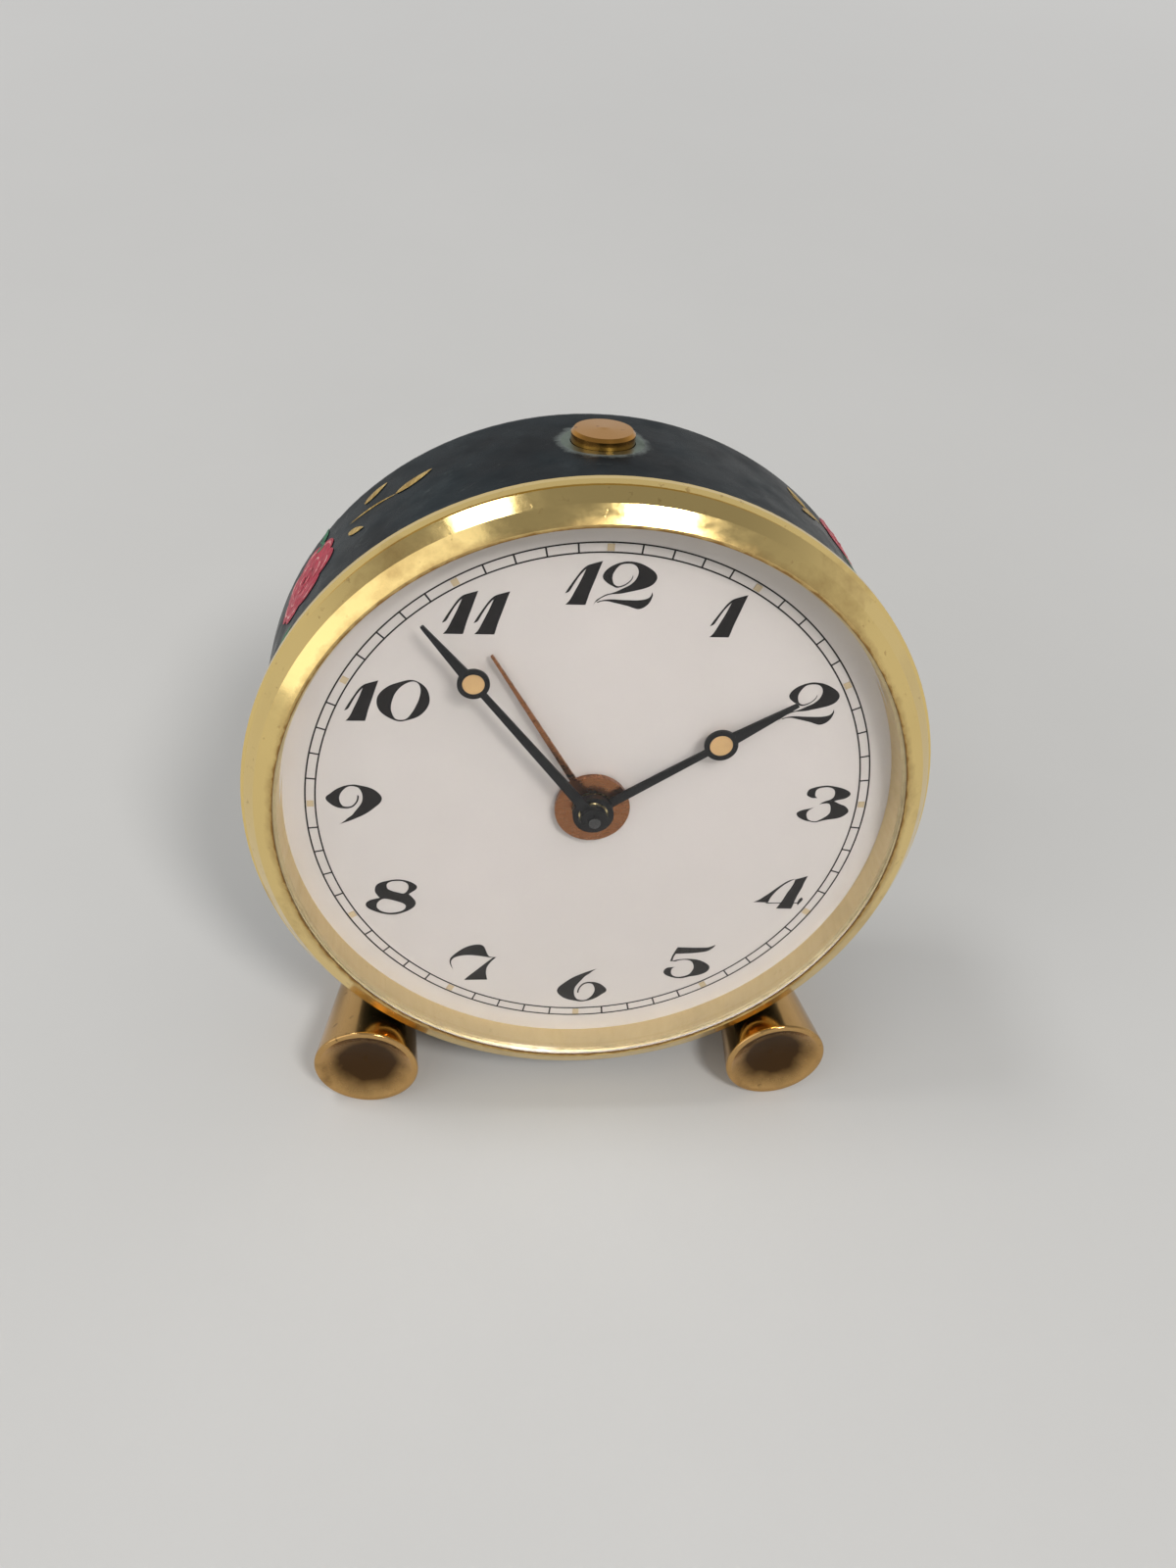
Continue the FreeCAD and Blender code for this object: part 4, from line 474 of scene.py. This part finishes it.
SEVEN = [[(.36, 1.4, 1), (.11, 1.9), (0, 2.4), (.06, 2.82), (.31, 3.19), (.73, 3.61), (1.23, 4.03), (1.73, 4.32),
          (2.23, 4.5), (2.65, 4.57), (3.06, 4.53), (3.36, 4.32), (3.52, 3.98), (3.65, 3.57), (3.81, 3.2),
          (4.06, 2.98), (4.65, 2.93, 1), (4.31, 2.57), (4.02, 2.19), (3.77, 1.73), (3.66, 1.23), (3.66, .73),
          (3.8, 0, 1), (1.48, 0, 1), (1.81, .4), (2.31, .9), (2.81, 1.4), (3.31, 1.9), (3.73, 2.32), (4.15, 2.73),
          (4.31, 2.87, 1), (3.9, 2.9), (3.31, 3.03), (2.65, 3.15), (1.98, 3.22), (1.31, 3.19), (.81, 3.07),
          (.4, 2.86), (.19, 2.57), (.15, 2.23), (.23, 1.82)]]
EIGHT = [[(3.04, 4.25), (3.54, 4.19), (4.04, 4.05), (4.54, 3.77), (4.86, 3.44), (4.79, 3.06), (4.46, 2.77),
          (4.08, 2.48, 1), (4.37, 2.15), (4.66, 1.73), (4.75, 1.4), (4.62, .98), (4.21, .6), (3.71, .31), (3.04, .06),
          (2.37, 0), (1.62, .11), (.87, .4), (.29, .73), (0, 1.11), (.04, 1.48), (.37, 1.77), (.87, 1.94),
          (1.33, 2.06, 1), (1.08, 2.4), (.89, 2.81), (.92, 3.31), (1.12, 3.69), (1.54, 3.94), (2.04, 4.08),
          (2.54, 4.21)]]
EIGHT_HOLES = [[(2.96, 4.06), (3.46, 4.02), (3.87, 3.81), (4.06, 3.48), (4.02, 3.06), (3.79, 2.69), (3.54, 2.56),
                (3.04, 2.69), (2.54, 2.86), (2.12, 3.11), (2, 3.44), (2.08, 3.77), (2.46, 4)],
               [(1.79, 1.94), (2.37, 1.81), (2.96, 1.61), (3.54, 1.36), (3.79, 1.06), (3.71, .73), (3.37, .44),
                (2.79, .27), (2.21, .23), (1.62, .36), (1.21, .65), (1.02, .98), (1.08, 1.4), (1.37, 1.77)]]
NINE = [[(0, 2.9), (.12, 3.15), (.4, 3.37), (.8, 3.73), (1.27, 4.03), (1.87, 4.27), (2.6, 4.37), (3.27, 4.23),
         (3.87, 4.07), (4.4, 3.8), (4.8, 3.43), (5.03, 3.07), (5.07, 2.73), (4.87, 2.3), (4.47, 1.9), (4, 1.47),
         (3.47, 1.07), (2.93, .77), (2.4, .5), (1.87, .27), (1.17, 0, 1), (1.6, .33), (1.93, .67), (2.33, 1),
         (2.6, 1.4), (2.93, 1.87), (3.2, 2.33), (3.32, 2.8), (3.3, 3.33), (3.13, 3.8), (2.87, 4.07), (2.4, 4.19),
         (2, 4.1), (1.67, 3.83), (1.4, 3.47), (1.25, 3.07), (1.23, 2.73), (1.33, 2.33), (1.53, 2.03), (1.87, 1.93),
         (2.27, 2), (2.53, 2.23), (2.73, 2.53), (2.83, 2.87), (2.85, 3.2, 1), (3, 3.17, 1), (2.99, 2.87),
         (2.9, 2.53), (2.73, 2.23), (2.47, 1.93), (2.13, 1.77), (1.73, 1.73), (1.2, 1.8), (.73, 2), (.4, 2.27),
         (.1, 2.6)]]
ZERO = [[(0, 1.9), (.12, 2.56), (.54, 3.15), (1.2, 3.65), (1.95, 3.94), (2.62, 4.15), (3.12, 4.19), (3.62, 4.02),
         (4.12, 3.65), (4.45, 3.15), (4.62, 2.48), (4.6, 1.9), (4.37, 1.31), (3.95, .77), (3.45, .4), (2.79, .15),
         (2.12, -.02), (1.62, .06), (1.04, .36), (.54, .73), (.16, 1.23)]]
ZERO_HOLES = [[(1.24, 1.4), (1.37, 2.15), (1.62, 2.81), (2.04, 3.4), (2.54, 3.81), (3.04, 4.02), (3.45, 3.98),
               (3.74, 3.65), (3.84, 3.06), (3.7, 2.31), (3.45, 1.65), (3.12, .98), (2.62, .31), (2.12, .15),
               (1.62, .27), (1.33, .81)]]
nine_width = 5.07
nine_height = 4.37
SIX = [[(nine_width - point[0], nine_height - point[1], *point[2:]) for point in NINE[0]]]
# Each digit on the dial: its outlines, its holes, and its lower left from the dial's centre.
DIAL_DIGITS = [(ONE, (), -3.55, 20.45), (TWO, (), -1.17, 20.13), (ONE, (), 9.21, 17.55), (TWO, (), 16.5, 8.76),
               (THREE, (), 19.7, -2.1), (FOUR, (), 16.85, -12.57), (FIVE, (), 8.7, -21.5), (SIX, (), -2.05, -24.5),
               (SEVEN, (), -12.98, -21.4), (EIGHT, EIGHT_HOLES, -21.04, -12.98), (NINE, (), -24.4, -2.3),
               (ONE, (), -22.37, 8.79), (ZERO, ZERO_HOLES, -19.62, 8.77), (ONE, (), -13.9, 17.5),
               (ONE, (), -11.22, 17.5)]


def smoothed(outline, steps=4):
    """A closed outline run through its points on smooth curves, sharp at the marked corners."""
    count = len(outline)
    made = []
    for index in range(count):
        start, end = outline[index], outline[(index + 1) % count]
        before = start if len(start) == 3 else outline[index - 1]
        after = end if len(end) == 3 else outline[(index + 2) % count]
        for step in range(steps):
            t = step / steps
            made.append(tuple(0.5 * (2 * start[axis] + (end[axis] - before[axis]) * t
                                     + (2 * before[axis] - 5 * start[axis] + 4 * end[axis] - after[axis]) * t * t
                                     + (3 * start[axis] - before[axis] - 3 * end[axis] + after[axis]) * t ** 3)
                              for axis in (0, 1)))
    return made


def dial_numbers():
    """The numbers 1 to 12, printed flat on the dial."""
    points = []
    faces = []
    for outlines, holes, across, up in DIAL_DIGITS:
        for index, outline in enumerate(outlines):
            loops = [smoothed(outline)] + ([smoothed(hole) for hole in holes] if index == 0 else [])
            flat = [[Vector((x, z, 0.0)) for x, z in loop] for loop in loops]
            first = len(points)
            points += [(across + x, dial_face - print_lift, up + z) for loop in loops for x, z in loop]
            faces += [tuple(first + corner for corner in face) for face in tessellate_polygon(flat)]
    piece("dial_numbers", points, faces, PRINT, smooth=False)


def drum_place(angle, depth, lift):
    """A place just off the drum's wall: angle in degrees, anticlockwise from the right; depth in mm from
    the dial."""
    turn = math.radians(angle)
    radius = drum_radius + lift
    return (radius * math.cos(turn), depth, radius * math.sin(turn))


def stroke(points, faces, angle, depth, heading, length, width, bend=0.0, lift=paint_lift):
    """A brush stroke on the drum: its middle at angle and depth, on an arc that turns by bend degrees.

    Heading is in degrees, 0 along the rim and 90 backward."""
    first = len(points)
    rows = 12
    columns = 4
    fullness = 0.8
    spine = [(0.0, 0.0)]
    for row in range(rows):
        course = math.radians(heading + bend * ((row + 0.5) / rows - 0.5))
        along, back = spine[-1]
        spine.append((along + length / rows * math.cos(course), back + length / rows * math.sin(course)))
    middle = spine[rows // 2]
    for row, (along, back) in enumerate(spine):
        share = row / rows
        course = math.radians(heading + bend * (share - 0.5))
        half = width / 2 * math.sin(math.pi * share ** fullness) ** fullness
        for column in range(columns + 1):
            off_spine = 2 * column / columns - 1
            side = off_spine * half
            crown = stroke_crown * (1 - off_spine ** 2) * math.sin(math.pi * share)
            points.append(drum_place(angle + (along - middle[0] - side * math.sin(course)) * degrees_per_mm,
                                     depth + back - middle[1] + side * math.cos(course), lift + crown))
    for row in range(rows):
        for column in range(columns):
            corner = first + row * (columns + 1) + column
            faces.append((corner, corner + 1, corner + columns + 2, corner + columns + 1))


# The rounds of a rose's petals, from the outermost in, as shares of its size: how many petals, how far out,
# how long and how wide they are, and by how many degrees they bend.
ROSE_ROUNDS = [(7, 0.66, 0.80, 0.56, 100.0), (6, 0.40, 0.62, 0.40, 110.0), (4, 0.18, 0.36, 0.24, 130.0)]
ROUND_TURN = 27.0
GROUND_STROKES = 9
GROUND_TURN = 20.0
GROUND_LENGTH = 1.55
GROUND_WIDTH = 0.62
LIGHT_WIDTH = 0.11


def painted_rose(name, angle, depth, size):
    """A full rose: a dark ground, red petals on it in three rounds, and pink lights along their rims."""
    coats = {ROSE_DEEP: ([], []), ROSE_RED: ([], []), ROSE_PINK: ([], [])}

    def off_middle(radius, turn):
        return angle + radius * math.cos(turn) * degrees_per_mm, depth + radius * math.sin(turn)

    for ground in range(GROUND_STROKES):
        stroke(*coats[ROSE_DEEP], angle, depth, GROUND_TURN * ground, GROUND_LENGTH * size, GROUND_WIDTH * size)
    for layer, (count, reach, length, width, bend) in enumerate(ROSE_ROUNDS):
        lift = paint_lift + coat_thick * (layer + 1)
        for petal in range(count):
            turn = math.radians(360.0 * petal / count + layer * ROUND_TURN)
            heading = math.degrees(turn) + 90.0
            stroke(*coats[ROSE_RED], *off_middle(reach * size, turn), heading, length * size, width * size,
                   bend, lift)
            rim = (reach + width * (0.34 if petal % 2 else 0.22)) * size
            light = 0.55 if petal % 3 else 0.8
            stroke(*coats[ROSE_PINK], *off_middle(rim, turn), heading, length * size * light,
                   width * size * LIGHT_WIDTH, bend, lift + coat_thick)
    for coat, (material, (points, faces)) in enumerate(coats.items()):
        piece("%s_coat_%d" % (name, coat), points, faces, material)


def painted_sprig(name, angle, depth, heading, leaves, length, material):
    """Leaves set in turn on both sides of a curved stem."""
    leaf_angle = 42.0
    stem_bend = 30.0
    points = []
    faces = []
    course = math.radians(heading)
    reach = length * (leaves * 0.5 + 0.6)
    stroke(points, faces, angle + reach / 2 * math.cos(course) * degrees_per_mm,
           depth + reach / 2 * math.sin(course), heading, reach, stem_width, stem_bend)
    for leaf in range(leaves):
        side = leaf_angle if leaf % 2 else -leaf_angle
        along = length * (leaf + 0.7) * 0.5
        out = math.radians(heading + side)
        where = angle + (along * math.cos(course) + length * 0.5 * math.cos(out)) * degrees_per_mm
        back = depth + along * math.sin(course) + length * 0.5 * math.sin(out)
        stroke(points, faces, where, back, heading + side, length, length * 0.40, side * 0.8,
               paint_lift + coat_thick)
    piece(name, points, faces, material)


def painted_strokes(name, strokes, material):
    """Strokes set one by one; each is given as stroke() takes it."""
    points = []
    faces = []
    for values in strokes:
        stroke(points, faces, *values)
    piece(name, points, faces, material)


# The long sprig on the upper left: its stem, then its three leaves.
GOLD_SPRIG = [(130.0, 11.7, 194.0, 6.2, stem_width, 14.0),
              (129.8, 14.6, 156.0, 3.0, 1.2, 16.0, paint_lift + coat_thick),
              (121.8, 11.4, 164.0, 4.0, 1.3, -18.0, paint_lift + coat_thick),
              (133.8, 9.4, 222.0, 2.6, 1.0, -20.0, paint_lift + coat_thick)]


def flowers():
    """Sprays of the builder's own drawing on both shoulders of the drum."""
    painted_sprig("green_sprig_left", 156.0, 6.0, 235.0, 4, 2.6, GREEN_LEAVES)
    painted_sprig("green_sprig_upper_left", 141.0, 13.0, 60.0, 2, 2.4, GREEN_LEAVES)
    painted_strokes("gold_sprig_upper_left", GOLD_SPRIG, GOLD_LEAVES)
    painted_rose("rose_upper_left", 147.5, 11.0, 5.0)
    painted_rose("bud_left", 157.5, 2.9, 1.5)
    painted_sprig("green_sprig_right", 36.0, 12.5, 300.0, 3, 2.4, GREEN_LEAVES)
    painted_sprig("gold_sprig_right", 46.0, 13.0, 10.0, 2, 3.0, GOLD_LEAVES)
    painted_rose("rose_right", 40.0, 14.9, 3.2)


def crystal_dome():
    """The domed crystal with an even, finely divided surface, so that the dial shows through it undistorted."""
    rings = 24
    turns = 144

    def cap(radius, height):
        """Radius and depth of each ring of a dome with the crystal's rise, from the middle out."""
        sphere = (radius * radius + crystal_rise * crystal_rise) / (2 * crystal_rise)
        stations = [radius * ring / rings for ring in range(1, rings + 1)]
        return [(r, -(height + crystal_rise - sphere + math.sqrt(sphere * sphere - r * r))) for r in stations]

    outer = cap(crystal_radius, crystal_front_height)
    inner = cap(crystal_inner_radius, crystal_back_height)
    back_edge = (crystal_radius, -crystal_back_height)
    points = [(0.0, -(crystal_front_height + crystal_rise), 0.0)]
    faces = [(0, 1 + turn, 1 + (turn + 1) % turns) for turn in range(turns)]

    def ring_at(radius, depth):
        first = len(points)
        for turn in range(turns):
            angle = 2 * math.pi * turn / turns
            points.append((radius * math.sin(angle), depth, radius * math.cos(angle)))
        return first

    def surface(stations):
        """Rings through the stations, bridged in turn; each surface keeps its own sharp edge."""
        firsts = [ring_at(*station) for station in stations]
        for first, second in zip(firsts, firsts[1:]):
            for turn in range(turns):
                after = (turn + 1) % turns
                faces.append((first + turn, second + turn, second + after, first + after))
        return firsts

    surface(outer)
    surface([outer[-1], back_edge])
    surface([back_edge, inner[-1]])
    back_ring = surface(inner[::-1])[-1]
    points.append((0.0, -(crystal_back_height + crystal_rise), 0.0))
    faces.extend((len(points) - 1, back_ring + (turn + 1) % turns, back_ring + turn) for turn in range(turns))
    made = piece("crystal_dome", points, [face[::-1] for face in faces], LOOKS["crystal"])
    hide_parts("crystal")
    made.visible_shadow = False


# ---------------------------------------------------------------- floor, light, camera
backdrop_strength = 0.62
zenith_strength = 0.28
sky_low = 0.1
sky_high = 0.8
floor_reach = 6.0
floor_fade_start = 0.1
floor_fade_end = 0.5
# Each lamp: name, place in metres, width in metres, watts, colour.
LAMPS = [("key", (0.30, -0.60, 0.90), 0.24, 4.0, (1.0, 0.97, 0.94)),
         ("fill", (-0.95, -0.65, 0.65), 1.4, 4.0, (1.0, 1.0, 1.0)),
         ("window", (-0.48, 0.24, 0.98), 0.26, 1.8, (1.0, 1.0, 1.0))]


def floor_look():
    """Pale floor, which the camera, metal and glass see fade into the backdrop far from the clock."""
    look = Look("pale_floor")
    look.colour(look.blend(look.ramp(look.noise(9.0, detail=6.0), 0.3, 0.7), FLOOR_DARKER, FLOOR_PALE))
    look.rough(0.75)
    glow = look.add("ShaderNodeEmission")
    look.feed(BACKDROP, glow.inputs["Color"])
    glow.inputs["Strength"].default_value = backdrop_strength
    path = look.add("ShaderNodeLightPath").outputs
    mirrored = look.maths("MAXIMUM", path["Is Glossy Ray"], path["Is Transmission Ray"])
    seen = look.maths("MAXIMUM", path["Is Camera Ray"], mirrored)
    far = look.ramp(look.distance((0.0, 0.0, 0.0)), floor_fade_start, floor_fade_end)
    mixed = look.add("ShaderNodeMixShader")
    look.join(look.maths("MULTIPLY", seen, far), mixed.inputs["Fac"])
    look.join(look.shader.outputs[0], mixed.inputs[1])
    look.join(glow.outputs[0], mixed.inputs[2])
    look.join(mixed.outputs[0], look.tree.nodes["Material Output"].inputs["Surface"])
    return look.material


def floor():
    """A pale floor under the feet."""
    corners = [(-1, -1), (1, -1), (1, 1), (-1, 1)]
    mesh = bpy.data.meshes.new("floor")
    mesh.from_pydata([(floor_reach * x, floor_reach * y, 0) for x, y in corners], [], [(0, 1, 2, 3)])
    mesh.materials.append(floor_look())
    made = bpy.data.objects.new("floor", mesh)
    bpy.context.scene.collection.objects.link(made)


def lamps():
    """Soft round lamps aimed at the dial's centre."""
    for name, place, width, watts, colour in LAMPS:
        data = bpy.data.lights.new(name, "AREA")
        data.shape = "DISK"
        data.size = width
        data.energy = watts
        data.color = colour
        made = bpy.data.objects.new(name, data)
        made.location = place
        made.rotation_euler = (DIAL_CENTRE - Vector(place)).to_track_quat("-Z", "Y").to_euler()
        bpy.context.scene.collection.objects.link(made)


def room():
    """A pale room: the backdrop's tone near the horizon, dimmer overhead."""
    world = bpy.data.worlds.new("soft_room")
    bpy.context.scene.world = world
    world.use_nodes = True
    tree = world.node_tree
    background = tree.nodes["Background"]
    direction = tree.nodes.new("ShaderNodeTexCoord").outputs["Generated"]
    height = tree.nodes.new("ShaderNodeSeparateXYZ")
    tree.links.new(direction, height.inputs[0])
    sky = tree.nodes.new("ShaderNodeMapRange")
    sky.interpolation_type = "SMOOTHSTEP"
    sky.inputs["From Min"].default_value = sky_low
    sky.inputs["From Max"].default_value = sky_high
    sky.inputs["To Min"].default_value = backdrop_strength
    sky.inputs["To Max"].default_value = zenith_strength
    tree.links.new(height.outputs["Z"], sky.inputs["Value"])
    background.inputs["Color"].default_value = (*BACKDROP, 1.0)
    tree.links.new(sky.outputs["Result"], background.inputs["Strength"])


# The camera's bearing and roll in degrees, distance in mm and framing in pixels, found by fitting the dial's
# ellipse and the case's outline.
view_azimuth = -7.489
view_elevation = 33.231
view_roll = 4.3
view_distance = 132.5
view_focal = 1444.2
frame_height = 1600
dial_centre_right = 2.99
dial_centre_down = 17.2
sensor_size = 36.0


def camera():
    """A camera at the photograph's viewing angle, set out in the case's frame."""
    azimuth = math.radians(view_azimuth)
    elevation = math.radians(view_elevation)
    roll = math.radians(view_roll)
    level = math.cos(elevation)
    back = Vector((math.sin(azimuth) * level, -math.cos(azimuth) * level, math.sin(elevation)))
    right = (-back).cross(Vector((0, 0, 1))).normalized()
    up = right.cross(-back)
    rolled_right = math.cos(roll) * right + math.sin(roll) * up
    rolled_up = -math.sin(roll) * right + math.cos(roll) * up
    sight = Vector((dial_centre_right / view_focal, -dial_centre_down / view_focal, -1.0)).normalized()
    to_dial = sight * view_distance
    eye = -(rolled_right * to_dial.x + rolled_up * to_dial.y + back * to_dial.z)
    data = bpy.data.cameras.new("camera")
    data.sensor_width = sensor_size
    data.lens = view_focal * sensor_size / frame_height
    data.clip_start = 0.005
    data.clip_end = 20.0
    made = bpy.data.objects.new("camera", data)
    turn = Matrix((rolled_right, rolled_up, back)).transposed().to_4x4()
    made.matrix_world = CASE @ Matrix.Translation(eye * MM) @ turn
    bpy.context.scene.collection.objects.link(made)
    bpy.context.scene.camera = made


dress_nodes()
dial_track()
dial_numbers()
flowers()
crystal_dome()
floor()
room()
lamps()
camera()
bpy.context.scene.view_settings.view_transform = "Standard"
